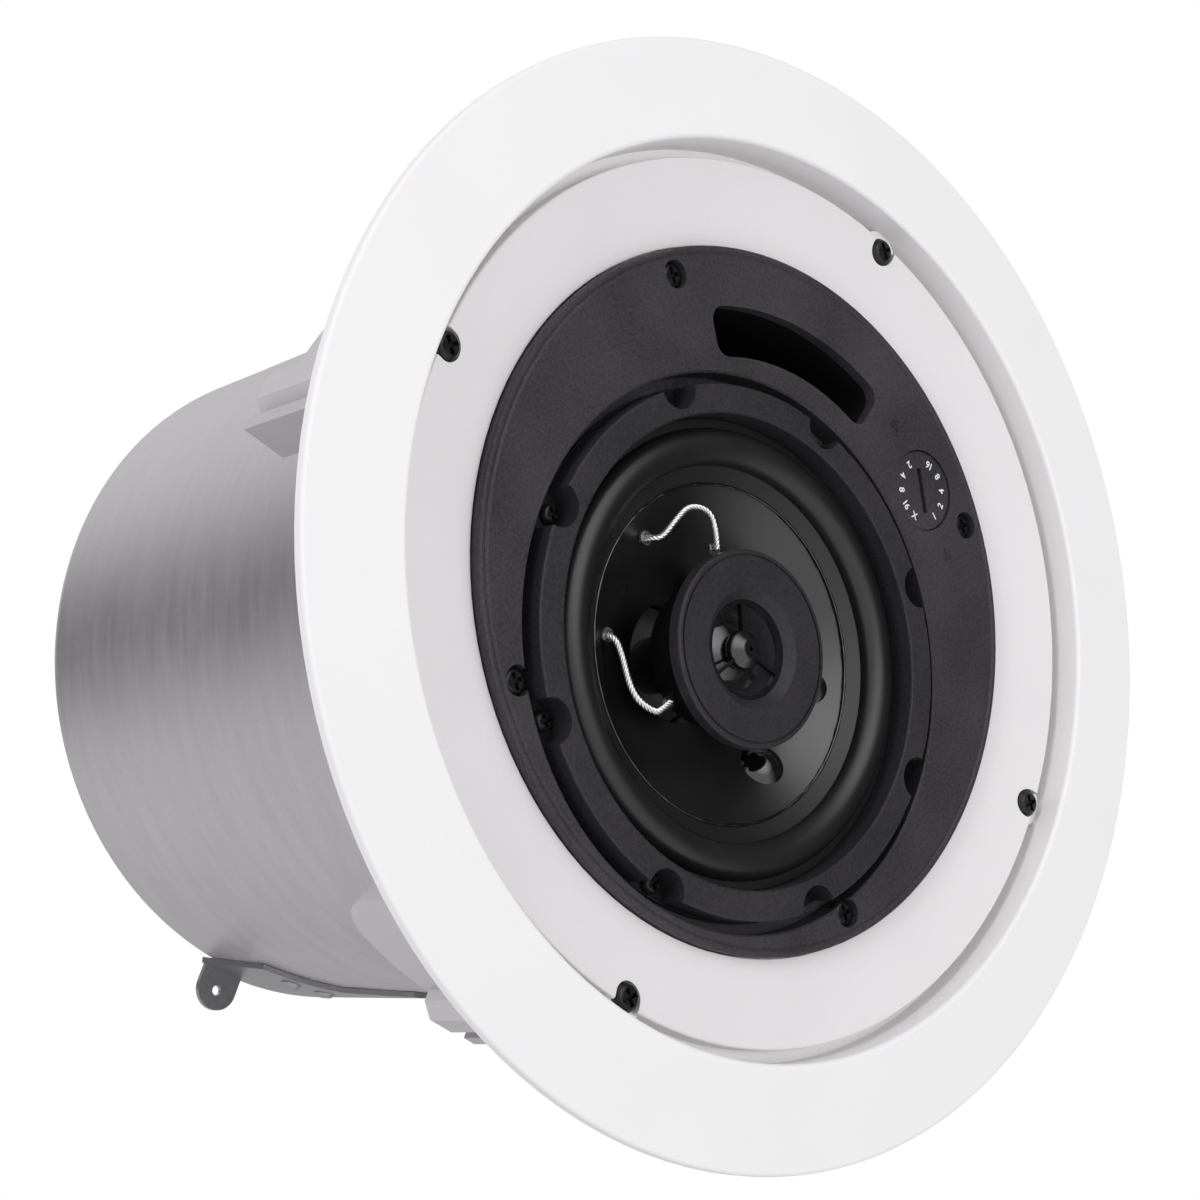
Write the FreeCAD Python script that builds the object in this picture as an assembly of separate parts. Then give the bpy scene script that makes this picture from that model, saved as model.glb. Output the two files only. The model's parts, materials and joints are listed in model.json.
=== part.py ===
import FreeCAD, Part
import os
from math import acos, atan2, cos, degrees, hypot, pi, radians, sin, tan

# Ceiling speaker with a small two-way driver, a steel back can and four dog-leg clamps.
# Sizes are in millimetres. It lies face down as it hangs in a ceiling: +Z goes up into the ceiling void,
# the front looks towards -Z, and the origin is the centre of the face that bears on the ceiling board.
# The driver's mounting ring sets the size, and the bezel, can, clamps and flange are built up outwards from it.

# general allowances: how far a cutter runs past a face, and how far a joined feature reaches into its carrier
past = 1.0
root_in = 0.5
hole_clearance = 0.2
running_gap = 0.05
glue_gap = 0.05
seat_gap = 0.02

# driver: outside of its ring, and its place off the can's axis
ring_r_out = 54.3
driver_offset = 12.9
driver_angle = -45.0

# black bezel plate and its well for the driver
well_clearance = 2.6
well_r = ring_r_out + well_clearance
well_wall = 1.5
well_bevel = 0.4
bezel_margin = 1.6
bezel_r = driver_offset + well_r + well_wall + bezel_margin
bezel_gap = 0.3
bezel_face = 2.6
bezel_wall = 2.6
bezel_round = 0.7
bezel_groove_set_in = 1.7
bezel_groove_in = 0.6
bezel_groove_out = 0.5
bezel_groove_round = 0.2
bezel_groove_depth = 0.35
bezel_skirt_wall = 1.9
seat_depth = 5.6
seat_wall = 2.0
seat_width = 7.4
bezel_screw_set_in = 5.4
bezel_screw_boss_r = 3.95
bezel_screw_count = 4
bezel_screw_sink = 0.9
bezel_post_height = 10.0
bezel_post_gap = 0.4

# screws: shaft radius, head radius, head height
bezel_screw_r = 1.5
bezel_screw_head_r = 2.8
bezel_screw_head_h = 1.9
bezel_screw_length = 12.0
driver_screw_r = 1.3
driver_screw_head_r = 2.1
driver_screw_head_h = 1.6
driver_screw_length = 5.6
can_screw_r = 1.4
can_screw_head_r = 2.8
can_screw_head_h = 1.4
can_screw_length = 4.6
screw_tip = 0.6
cross_width = 0.9
cross_depth = 1.1

# port slot and duct
port_set_in = 12.7
port_width = 10.7
port_start = 97.0
port_end = 147.0
port_corner = 3.2
duct_wall = 1.6
duct_length = 48.0

# power tap dial
dial_set_in = 15.4
dial_angle = 169.6
dial_r = 8.8
dial_gap = 0.2
dial_set_back = 0.3
dial_wall = 2.0
dial_round = 0.25
dial_slot_length = 9.8
dial_slot_width = 1.4
dial_slot_depth = 0.9
dial_slot_angle = 99.0
dial_shaft_r = 3.0
dial_shaft_length = 7.0
shaft_end_gap = 0.4
switch_r = 10.6
switch_height = 9.0
switch_round = 0.8
switch_pin_r = 0.7
switch_pin_length = 4.0
switch_pin_set_in = 3.0
switch_pin_count = 6

# collar behind the baffle that the can slides over
collar_room = 4.0
collar_wall = 2.0
collar_height = 12.0
collar_r = bezel_r + collar_room + collar_wall

# drawn steel back can, its gasket and fixings
can_fit = 0.5
can_wall = 0.9
can_front_r = collar_r + can_fit + can_wall
can_taper = 2.6
can_back_r = can_front_r - can_taper
can_back = 159.5
can_corner = 5.0
gasket_h = 0.7
gasket_proud = 0.3
gasket_land = 1.0
can_screw_count = 4
can_screw_first = 22.5
can_screw_height = 6.2
drill_half = 3.0
wire_hole_r = 9.0

# dog-leg clamps, one nut and arm on each long screw
clamp_first_angle = 45.0
clamp_count = 4
clamp_screw_r = 2.0
clamp_screw_head_r = 3.0
clamp_screw_head_h = 2.0
clamp_screw_proud = 0.5
clamp_screw_tail = 1.6
clamp_boss_r = 4.4
hub_half = 5.8
hub_chamfer = 3.0
hub_can_clearance = 3.1
hub_back = 58.7
hub_height = 26.0
hub_back_round = 2.4
nut_r = 3.4
nut_height = 9.0
nut_flange_r = 4.5
nut_flange_h = 1.2
arm_can_clearance = 2.9
arm_wall = 6.4
arm_height = 14.0
arm_span = 21.5
foot_span = 8.0
foot_depth = 28.0
arm_tip_round = 9.0
rib_gap = 0.35
rib_wall = 3.0
rib_height = 49.4
rib_set_in = 0.6
clamp_circle = can_front_r + hub_can_clearance + hub_half

# white flange and baffle, one moulding
lip_r = clamp_circle + clamp_boss_r
lip_front = 3.7
lip_round = 0.9
rim_width = 21.4
flange_r = lip_r + rim_width
flange_edge = 2.0
flange_edge_round = 0.9
spigot_wall = 2.2
groove_width = 2.6
groove_depth = 4.6
groove_back = 2.2
baffle_set_back = 1.3
baffle_slope = 11.4
baffle_wall = 3.4
baffle_round = 0.5
ledge_width = 1.6
ledge_drop = 1.2
ledge_wall = 2.2

# line transformer on the can's back wall
core_x = 46.0
core_y = 40.0
core_h = 18.0
core_leg = 14.0
core_yoke = 7.5
core_x_place = -32.0
core_stand_off = 9.0
winding_clearance = 0.2
winding_over = 7.5
winding_corner = 3.0
strap_wall = 1.2
strap_foot = 9.0

# rivets
rivet_r = 1.4
rivet_head_r = 2.5
rivet_head_h = 0.9
rivet_tail = 0.6
rivet_seat_gap = 0.06

# rear terminal cover, block and cable clamp; the cover clears the transformer's rivets
cover_x = 84.0
cover_rivet_room = 0.8
cover_y = core_y + 2 * (strap_wall + strap_foot / 2 + rivet_head_r + cover_rivet_room)
cover_h = 19.0
cover_wall = 1.0
cover_corner = 5.0
cover_round = 1.2
cover_foot = 9.0
cover_foot_half = 8.0
cover_foot_corner = 3.0
cover_screw_set_in = 4.5
cover_screw_length = 3.2
block_x = 40.0
block_y = 17.0
block_h = 13.0
block_corner = 1.0
block_gap = 1.0
block_ways = 4
block_screw_r = 2.3
block_screw_depth = 3.0
block_way_r = 1.6
block_way_height = 4.5
block_notch_half = 0.4
block_notch_depth = 4.0
gland_r = 9.5
gland_bore_r = 4.6
gland_length = 11.0
gland_neck_r = 7.6
gland_neck_length = 3.2
gland_chamfer = 1.5
gland_height = 9.8

# steel bracket with the safety-wire ear, riveted to the can; its outline is (angle, distance from the can's back)
bracket_wall = 1.2
bracket_gap = 0.05
bracket_reach = 48.0
bracket_edge = 0.9
bracket_outline = ((-82.0, bracket_edge), (-82.0, bracket_reach), (-65.0, bracket_reach), (-60.0, 29.0),
                   (-52.5, 25.5), (-46.5, 22.0), (-43.5, bracket_edge))
bracket_top_set_in = 0.5
ear_corner_rest = 0.1
ear_angle = -48.0
ear_half = 5.2
ear_hole_r = 1.2
ear_hole_out = 5.9
ear_tip = 4.6
rivet_angles = (-54.0, -61.0)
rivet_set_in = 19.5

# crossover board
board_x = 34.0
board_y = 56.0
board_wall = 1.6
board_x_place = 34.0
board_stand_off = 8.0
post_r = 3.0
post_set_in = 5.0
post_pin_out = 1.0
cap_r = 6.5
cap_length = 24.0
cap_round = 0.8
coil_r_out = 12.0
coil_r_in = 5.0
coil_h = 10.0
board_part_gap = 3.5
coil_y_place = 8.0

# driver: mounting ring
ring_proud = 1.7
ring_front = bezel_face - ring_proud
ring_width = 6.1
ring_r_in = ring_r_out - ring_width
ring_round = 0.5
notch_count = 8
notch_r = 4.5
driver_screw_set_in = 2.0
driver_screw_circle = ring_r_out - driver_screw_set_in

# driver: basket
basket_wall = 1.0
basket_front = bezel_face + seat_depth - basket_wall
basket_edge_over = 0.3
surround_fit = 0.2
surround_r_out = ring_r_in - surround_fit
basket_land = 2.0
basket_lip_r = surround_r_out - basket_land
basket_lip_drop = 1.2
basket_lip_round = 1.0
web_run = 10.6
basket_waist_r = basket_lip_r - web_run
basket_waist_depth = 17.0
basket_waist = basket_front + basket_waist_depth
shelf_width = 4.8
basket_shelf_r = basket_waist_r - shelf_width
basket_floor_depth = 23.8
basket_floor = basket_front + basket_floor_depth
basket_floor_r = 16.0
basket_window_count = 4
basket_window_half = 33.0
basket_window_in = 3.0
basket_window_rest = 0.6
basket_window_corner = 2.0

# driver: cone and suspension
surround_wall = 0.8
outer_land = 1.8
inner_land = 3.5
roll_r = 3.9
roll_r_mid = surround_r_out - outer_land - roll_r
land_wall = 0.6
land_inner_r = roll_r_mid - roll_r - inner_land
land_slope = 0.4
cone_wall = 0.6
cone_neck_wall = 0.96
cone_edge_wall = 0.75
cone_neck_depth = 15.4
cone_neck = basket_front + cone_neck_depth
former_r = 13.1
former_wall = 0.2
former_in_gap = 6.5
coil_wall = 0.65
coil_height = 8.0
spider_wall = 0.5
spider_wave = 1.1
spider_waves = 4
spider_land = 1.0
spider_round = 0.5

# driver: motor
plate_h = 5.0
gap_outside = 0.55
magnet_over = 2.6
magnet_r = basket_waist_r + magnet_over
magnet_edge = 2.0
plate_r = magnet_r - magnet_edge
magnet_r_in = 19.0
magnet_h = 12.0
yoke_h = 5.0
pole_gap = 0.5
pole_bore_r = 2.5

# tweeter on its post; levels are measured back from its front face
face_proud = 1.05
face_front = ring_front - face_proud
face_r = 20.25
face_wall = 2.8
face_round = 0.6
face_groove_r = 19.0
face_groove_width = 0.5
face_groove_depth = 0.35
mouth_r = 12.2
throat_r = 10.2
throat_depth = 1.8
throat_back = face_front + throat_depth
shield_front_gap = 0.35
shield_depth = 3.35
shield_seat = face_front + shield_depth
shield_ring_wall = 0.9
horn_r = 7.9
spigot_depth = 6.15
face_spigot_back = face_front + spigot_depth
cup_r = 14.3
cup_wall = 1.5
cup_depth = 15.75
cup_back = face_front + cup_depth
cup_floor = 2.0
cup_round = 1.0
dome_r = 6.6
dome_h = 1.8
dome_wall = 0.15
dome_flange_h = 0.4
dome_fit = 0.2
magnet_slug_r = 10.0
slug_plate_h = 2.0
plug_r = 4.4
plug_tip_depth = 0.65
plug_tip = face_front + plug_tip_depth
plug_shoulder = 1.9
plug_tip_round = 1.2
plug_side_round = 1.4
plug_depth = 4.05
plug_back = face_front + plug_depth
plug_hole_r = 0.5
plug_hole_depth = 1.2
spoke_count = 3
spoke_wall = 0.8
spoke_first = 105.0
post_r_tweeter = 6.0

# leads, eyelets and glue on the cone; a drop is (distance in from the surround's land, angle, ball, depth sunk)
eyelet_set_in = 6.3
eyelet_circle = land_inner_r - eyelet_set_in
eyelet_angles = (70.2, 22.6)
eyelet_r = 1.5
eyelet_h = 0.5
tag_angles = (98.0, -14.0)
tag_length = 8.1
tag_reach = cup_r + tag_length
tag_half = 1.3
tag_wall = 0.5
tag_corner = 0.6
tag_depth = 6.75
tag_level = face_front + tag_depth
tag_boss_out = 1.6
tag_boss_side = 0.8
tag_boss_height = 2.2
tag_gap = 0.1
lead_r = 0.6
lead_hole_gap = 0.1
lead_set_in = 1.4
lead_drop = 2.4
lead_routes = (((27.4, 72.6, 8.6), (29.5, 80.0, 6.3), (31.0, 87.4, 5.4), (29.0, 96.2, 5.0), (25.0, 98.6, 5.1)),
               ((27.5, 16.3, 8.8), (28.6, -3.0, 6.8), (26.0, -13.3, 5.4), (24.2, -14.0, 5.2)))
dab_places = ((6.1, -107.0, 6.5, 5.2), (3.9, -152.0, 5.0, 4.1))

# driver terminal strip and the leads behind the cone: (radius past the eyelets, rise) at their bends
strip_angle = 47.0
strip_half = 7.0
strip_wall = 1.4
strip_depth = 14.0
strip_drop = 9.0
strip_spread = 5.6
strip_hole_in = 3.0
strip_hole_gap = 0.3
web_hole_gap = 0.6
blade_half = 1.4
blade_wall = 0.6
blade_length = 8.0
rear_lead_start = 0.7
rear_lead_rise = 3.2
rear_lead_bend_out = 2.0
rear_lead_bend_turn = 6.0
rear_lead_bend_rise = 4.6
rear_lead_end_out = 5.0
rear_lead_end_turn = 2.0

# felt lining inside the can
lining_wall = 6.0
lining_front = 66.0
lining_back_gap = 26.0

V = FreeCAD.Vector
UP = V(0, 0, 1)
saved = []


def polar(radius, angle, z=0.0, centre=(0.0, 0.0)):
    return V(centre[0] + radius * cos(radians(angle)), centre[1] + radius * sin(radians(angle)), z)


def save(name, solids):
    # write one node; a list becomes a group of separate solids
    shape = Part.makeCompound(solids) if isinstance(solids, list) else solids
    shape.exportStep("parts/" + name + ".step")
    saved.append(name)


def rounded_wire(points, place):
    # closed wire through (a, b) or (a, b, radius) points, with an arc at each point that has a radius
    flat = [(p[0], p[1], p[2] if len(p) > 2 else 0.0) for p in points]
    count = len(flat)
    stops = []
    for k in range(count):
        here = V(flat[k][0], flat[k][1], 0)
        before = V(flat[k - 1][0], flat[k - 1][1], 0)
        after = V(flat[(k + 1) % count][0], flat[(k + 1) % count][1], 0)
        radius = flat[k][2]
        if radius <= 0:
            stops.append((here, None, here))
            continue
        back = (before - here).normalize()
        ahead = (after - here).normalize()
        half = acos(max(-1.0, min(1.0, back.dot(ahead)))) / 2
        reach = radius / tan(half)
        inward = (back + ahead).normalize()
        middle = here + inward * (radius / sin(half) - radius)
        stops.append((here + back * reach, middle, here + ahead * reach))
    edges = []
    for k in range(count):
        start, middle, end = stops[k]
        if middle is not None:
            edges.append(Part.Arc(place(start), place(middle), place(end)).toShape())
        following = stops[(k + 1) % count][0]
        if (following - end).Length > 1e-6:
            edges.append(Part.LineSegment(place(end), place(following)).toShape())
    return Part.Wire(edges)


def turned(points, centre=(0.0, 0.0)):
    # solid turned about the upright line through centre from (radius, z) points
    wire = rounded_wire(points, lambda p: V(centre[0] + p.x, centre[1], p.y))
    return Part.Face(wire).revolve(V(centre[0], centre[1], 0), UP, 360)


def disc(radius, z0, z1, centre=(0.0, 0.0)):
    return Part.makeCylinder(radius, z1 - z0, V(centre[0], centre[1], z0))


def ring(r_in, r_out, z0, z1, centre=(0.0, 0.0)):
    return disc(r_out, z0, z1, centre).cut(disc(r_in, z0 - past, z1 + past, centre))


def prism(points, z0, z1, angle=0.0, centre=(0.0, 0.0)):
    # upright prism from (x, y) or (x, y, radius) points, turned by angle about the line through centre
    wire = rounded_wire(points, lambda p: V(centre[0] + p.x, centre[1] + p.y, z0))
    solid = Part.Face(wire).extrude(V(0, 0, z1 - z0))
    solid.rotate(V(centre[0], centre[1], 0), UP, angle)
    return solid


def block(x0, x1, y0, y1, z0, z1, angle=0.0, centre=(0.0, 0.0)):
    return prism([(x0, y0), (x1, y0), (x1, y1), (x0, y1)], z0, z1, angle, centre)


def sector(r_in, r_out, a0, a1, z0, z1, corner=0.0):
    # part of a ring between two angles, with rounded upright corners
    mid = (a0 + a1) / 2
    if corner <= 0:
        edges = [Part.Arc(polar(r_in, a0, z0), polar(r_in, mid, z0), polar(r_in, a1, z0)).toShape(),
                 Part.LineSegment(polar(r_in, a1, z0), polar(r_out, a1, z0)).toShape(),
                 Part.Arc(polar(r_out, a1, z0), polar(r_out, mid, z0), polar(r_out, a0, z0)).toShape(),
                 Part.LineSegment(polar(r_out, a0, z0), polar(r_in, a0, z0)).toShape()]
        return Part.Face(Part.Wire(edges)).extrude(V(0, 0, z1 - z0))
    plain = sector(r_in, r_out, a0, a1, z0, z1)
    upright = [e for e in plain.Edges if abs(e.Vertexes[0].Z - e.Vertexes[-1].Z) > 0.5 * (z1 - z0)]
    return plain.makeFillet(corner, upright)


def cross_slot(place, head_r, axis=V(0, 0, -1)):
    # cross recess cut into a head whose outer face is at place; axis points out of the head
    arm = 0.62 * head_r
    cut = Part.makeBox(2 * arm, cross_width, cross_depth, V(-arm, -cross_width / 2, -cross_depth))
    other = cut.copy()
    other.rotate(V(0, 0, 0), UP, 90)
    both = cut.fuse(other)
    both.Placement = FreeCAD.Placement(place, FreeCAD.Rotation(UP, axis))
    return both


def pan_screw(place, shaft_r, head_r, head_h, length, axis=V(0, 0, -1)):
    # cross-head screw; place is the middle of the head's underside and axis points out of the head
    head = turned([(0, 0), (head_r, 0), (head_r, head_h * 0.45, head_h * 0.4), (head_r * 0.72, head_h, head_h * 0.5),
                   (0, head_h)])
    shaft = Part.makeCylinder(shaft_r, length, V(0, 0, -length))
    tip = min(0.5 * shaft_r, screw_tip)
    shaft = shaft.makeChamfer(tip, [e for e in shaft.Edges if e.CenterOfMass.z < -0.9 * length
                                    and e.Curve.TypeId == "Part::GeomCircle"])
    screw = head.fuse(shaft).removeSplitter()
    screw.Placement = FreeCAD.Placement(place, FreeCAD.Rotation(UP, axis))
    return screw.cut(cross_slot(place + axis * head_h, head_r, axis))


def tube_along(points, radius):
    # round wire along a route of straight runs joined by tangent arcs
    runs = [(points[k + 1] - points[k]).Length for k in range(len(points) - 1)]
    edges = []
    start = points[0]
    for k in range(1, len(points) - 1):
        back = (points[k - 1] - points[k]).normalize()
        ahead = (points[k + 1] - points[k]).normalize()
        turn = pi - acos(max(-1.0, min(1.0, back.dot(ahead))))
        bend = 0.45 * min(runs[k - 1], runs[k]) / tan(turn / 2)
        reach = bend * tan(turn / 2)
        inward = (back + ahead).normalize()
        middle = points[k] + inward * (bend / cos(turn / 2) - bend)
        edges.append(Part.LineSegment(start, points[k] + back * reach).toShape())
        edges.append(Part.Arc(points[k] + back * reach, middle, points[k] + ahead * reach).toShape())
        start = points[k] + ahead * reach
    edges.append(Part.LineSegment(start, points[-1]).toShape())
    path = Part.Wire(edges)
    along = (points[1] - points[0]).normalize()
    section = Part.Wire([Part.Circle(points[0], along, radius).toShape()])
    return path.makePipeShell([section], True, False)


# levels and radii that several pieces share
driver = (driver_offset * cos(radians(driver_angle)), driver_offset * sin(radians(driver_angle)))
baffle_r = lip_r - groove_width
spigot_r = lip_r + spigot_wall
bezel_groove_r = bezel_r - bezel_groove_set_in
bezel_screw_circle = bezel_r - bezel_screw_set_in
port_r_out = bezel_r - port_set_in
port_r_in = port_r_out - port_width
ledge_r_out = bezel_r + bezel_gap
ledge_r_in = ledge_r_out - ledge_width
slope = tan(radians(baffle_slope))
ledge_front = baffle_set_back + (baffle_r - ledge_r_out) * slope + ledge_drop
ledge_back = ledge_front + ledge_wall
groove_floor = baffle_set_back + groove_depth
groove_rear = groove_floor + groove_back
can_seat = ledge_back
can_front = can_seat + gasket_h
bezel_back = bezel_face + bezel_wall
seat_front = bezel_face + seat_depth
seat_back = seat_front + seat_wall
post_front = seat_back + bezel_post_gap
bezel_screw_angles = [k * 360.0 / bezel_screw_count for k in range(bezel_screw_count)]
clamp_angles = [clamp_first_angle + k * 360.0 / clamp_count for k in range(clamp_count)]
notch_angles = [k * 360.0 / notch_count for k in range(notch_count)]
dial = polar(bezel_r - dial_set_in, dial_angle)
dial_place = (dial.x, dial.y)
hub_front = hub_back - hub_height
can_draft = (can_front_r - can_back_r) / (can_back - can_front)
can_floor = can_back - can_wall
clamp_head_front = baffle_set_back + (baffle_r - clamp_circle) * slope - clamp_screw_proud
clamp_head_seat = clamp_head_front + clamp_screw_head_h
top_plate_front = basket_floor
former_back = top_plate_front + former_in_gap
magnet_front = top_plate_front + plate_h
yoke_front = magnet_front + magnet_h
yoke_back = yoke_front + yoke_h
land_front = basket_front - surround_wall / 2
roll_r_inner = roll_r_mid - roll_r


def can_r(z):
    return can_front_r - (z - can_front) * can_draft


def baffle_front_at(radius):
    return baffle_set_back + (baffle_r - radius) * slope


def land_level(radius):
    # front of the surround's inner land, which slopes down the cone's edge
    return land_front + (roll_r_inner - radius) * land_slope


def cone_level(radius):
    # front face of the cone between its edge and its neck
    edge_r = land_inner_r
    edge_z = land_level(edge_r) + land_wall
    return edge_z + (edge_r - radius) * (cone_neck - edge_z) / (edge_r - former_r)


def flange_baffle():
    back_slope_r = lip_r - groove_width - groove_back
    body = turned([
        (ledge_r_in, ledge_front), (ledge_r_out, ledge_front), (ledge_r_out, baffle_front_at(ledge_r_out)),
        (baffle_r, baffle_set_back, baffle_round), (baffle_r, groove_floor), (lip_r, groove_floor),
        (lip_r, -lip_front, lip_round), (flange_r, -flange_edge, flange_edge_round), (flange_r, 0),
        (spigot_r, 0), (spigot_r, groove_rear), (back_slope_r, groove_rear),
        (back_slope_r, baffle_front_at(back_slope_r) + baffle_wall),
        (can_front_r + gasket_land, can_seat), (collar_r, can_seat),
        (collar_r, can_seat + collar_height), (collar_r - collar_wall, can_seat + collar_height),
        (collar_r - collar_wall, ledge_back), (ledge_r_in, ledge_back)])
    for angle in bezel_screw_angles:
        centre = polar(bezel_screw_circle, angle)
        post = disc(bezel_screw_boss_r, post_front, post_front + bezel_post_height, (centre.x, centre.y))
        web = block(bezel_screw_circle, collar_r - collar_wall / 2, -bezel_screw_boss_r, bezel_screw_boss_r,
                    post_front, can_seat + collar_height, angle)
        body = body.fuse([post, web])
        body = body.cut(disc(bezel_screw_r, post_front - past, post_front + bezel_post_height + past,
                             (centre.x, centre.y)))
    for angle in clamp_angles:
        centre = polar(clamp_circle, angle)
        place = (centre.x, centre.y)
        boss = disc(clamp_boss_r + root_in, clamp_head_seat, groove_rear, place)
        rib_side = -(hub_half ** 2 + (hub_half - hub_chamfer) ** 2) ** 0.5 - rib_gap
        rib = block(clamp_circle - hub_half + rib_set_in, clamp_circle + hub_half - rib_set_in,
                    rib_side - rib_wall, rib_side, groove_floor, groove_rear + rib_height, angle)
        body = body.fuse([boss, rib])
        # the head's recess opens into the seating groove
        half = clamp_screw_head_r + hole_clearance
        mouth = block(clamp_circle, baffle_r + baffle_round, -half, half, -lip_front, clamp_head_seat, angle)
        body = body.cut(disc(half, -lip_front, clamp_head_seat, place).fuse(mouth).removeSplitter())
        body = body.cut(disc(clamp_screw_r + hole_clearance, -lip_front, groove_rear + past, place))
    for k in range(can_screw_count):
        angle = k * 360.0 / can_screw_count + can_screw_first
        start = polar(collar_r - collar_wall - past, angle, can_seat + can_screw_height)
        body = body.cut(Part.makeCylinder(can_screw_r, collar_wall + 2 * past, start, polar(1, angle)))
    return body.removeSplitter()


def bezel():
    lip = bezel_r - bezel_skirt_wall
    body = turned([(0, bezel_face), (bezel_groove_r - bezel_groove_in, bezel_face),
                   (bezel_groove_r, bezel_face + bezel_groove_depth),
                   (bezel_groove_r + bezel_groove_out, bezel_face, bezel_groove_round),
                   (bezel_r, bezel_face, bezel_round), (bezel_r, ledge_front),
                   (lip, ledge_front), (lip, bezel_back), (0, bezel_back)])
    body = body.fuse(disc(well_r + well_wall, bezel_face + root_in, seat_back, driver))
    for angle in bezel_screw_angles:
        centre = polar(bezel_screw_circle, angle)
        body = body.fuse(disc(bezel_screw_boss_r, bezel_back - root_in, post_front, (centre.x, centre.y)))
    well = turned([(0, seat_front), (well_r, seat_front), (well_r, bezel_face + well_bevel),
                   (well_r + 2 * well_bevel, bezel_face - well_bevel), (0, bezel_face - well_bevel)], driver)
    body = body.cut([well, disc(well_r - seat_width, seat_front - past, post_front + past, driver)])
    for angle in bezel_screw_angles:
        centre = polar(bezel_screw_circle, angle)
        place = (centre.x, centre.y)
        sink = disc(bezel_screw_head_r + hole_clearance, 0, bezel_face + bezel_screw_sink + bezel_screw_head_h, place)
        body = body.cut(sink)
        body = body.cut(disc(bezel_screw_r + hole_clearance, 0, post_front + past, place))
    for angle in notch_angles:
        centre = polar(driver_screw_circle, angle, 0, driver)
        body = body.cut(disc(driver_screw_r, seat_front - past, seat_back + past, (centre.x, centre.y)))
    body = body.cut(sector(port_r_in, port_r_out, port_start, port_end, 0, bezel_back + past, port_corner))
    return body.cut(disc(dial_r + dial_gap, 0, bezel_back + past, dial_place))


def bezel_screws():
    return [pan_screw(polar(bezel_screw_circle, a, bezel_face + bezel_screw_sink + bezel_screw_head_h),
                      bezel_screw_r, bezel_screw_head_r, bezel_screw_head_h, bezel_screw_length)
            for a in bezel_screw_angles]


def port_duct():
    grow = duct_wall / port_r_in * 180 / pi
    outside = sector(port_r_in - duct_wall, port_r_out + duct_wall, port_start - grow, port_end + grow,
                     bezel_back, bezel_back + duct_length, port_corner + duct_wall)
    inside = sector(port_r_in, port_r_out, port_start, port_end, bezel_back - past, bezel_back + duct_length + past,
                    port_corner)
    return outside.cut(inside)


def tap_dial():
    front = bezel_face + dial_set_back
    body = turned([(0, front), (dial_r, front, dial_round), (dial_r, front + dial_wall),
                   (dial_shaft_r, front + dial_wall), (dial_shaft_r, front + dial_wall + dial_shaft_length),
                   (0, front + dial_wall + dial_shaft_length)], dial_place)
    slot = block(-dial_slot_length / 2, dial_slot_length / 2, -dial_slot_width / 2, dial_slot_width / 2,
                 front - past, front + dial_slot_depth, dial_slot_angle, dial_place)
    return body.cut(slot)


def tap_switch_body():
    bore_end = bezel_face + dial_set_back + dial_wall + dial_shaft_length + shaft_end_gap
    body = turned([(dial_shaft_r + running_gap, bezel_back), (switch_r, bezel_back),
                   (switch_r, bezel_back + switch_height, switch_round), (0, bezel_back + switch_height),
                   (0, bore_end), (dial_shaft_r + running_gap, bore_end)], dial_place)
    for k in range(switch_pin_count):
        pin = polar(switch_r - switch_pin_set_in, k * 360.0 / switch_pin_count, 0, dial_place)
        body = body.fuse(disc(switch_pin_r, bezel_back + switch_height - root_in,
                              bezel_back + switch_height + switch_pin_length, (pin.x, pin.y)))
    # the side next to the driver's well is flat, as on a moulded wafer switch
    away = hypot(dial.x - driver[0], dial.y - driver[1]) - well_r - well_wall - bezel_gap
    side = degrees(atan2(driver[1] - dial.y, driver[0] - dial.x))
    return body.cut(block(away, 2 * switch_r, -2 * switch_r, 2 * switch_r, 0, 2 * switch_height + bezel_back,
                          side, dial_place))


def clamp_screw(angle):
    place = polar(clamp_circle, angle, clamp_head_seat)
    return pan_screw(place, clamp_screw_r, clamp_screw_head_r, clamp_screw_head_h,
                     hub_back + clamp_screw_tail - clamp_head_seat)


def clamp_nut(angle):
    centre = polar(clamp_circle, angle)
    place = (centre.x, centre.y)
    body = disc(nut_r, hub_back - nut_height, hub_back, place)
    flange = disc(nut_flange_r, hub_back - nut_height - nut_flange_h, hub_back - nut_height, place)
    body = body.fuse(flange)
    return body.cut(disc(clamp_screw_r + running_gap, hub_front, hub_back + past, place)).removeSplitter()


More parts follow.
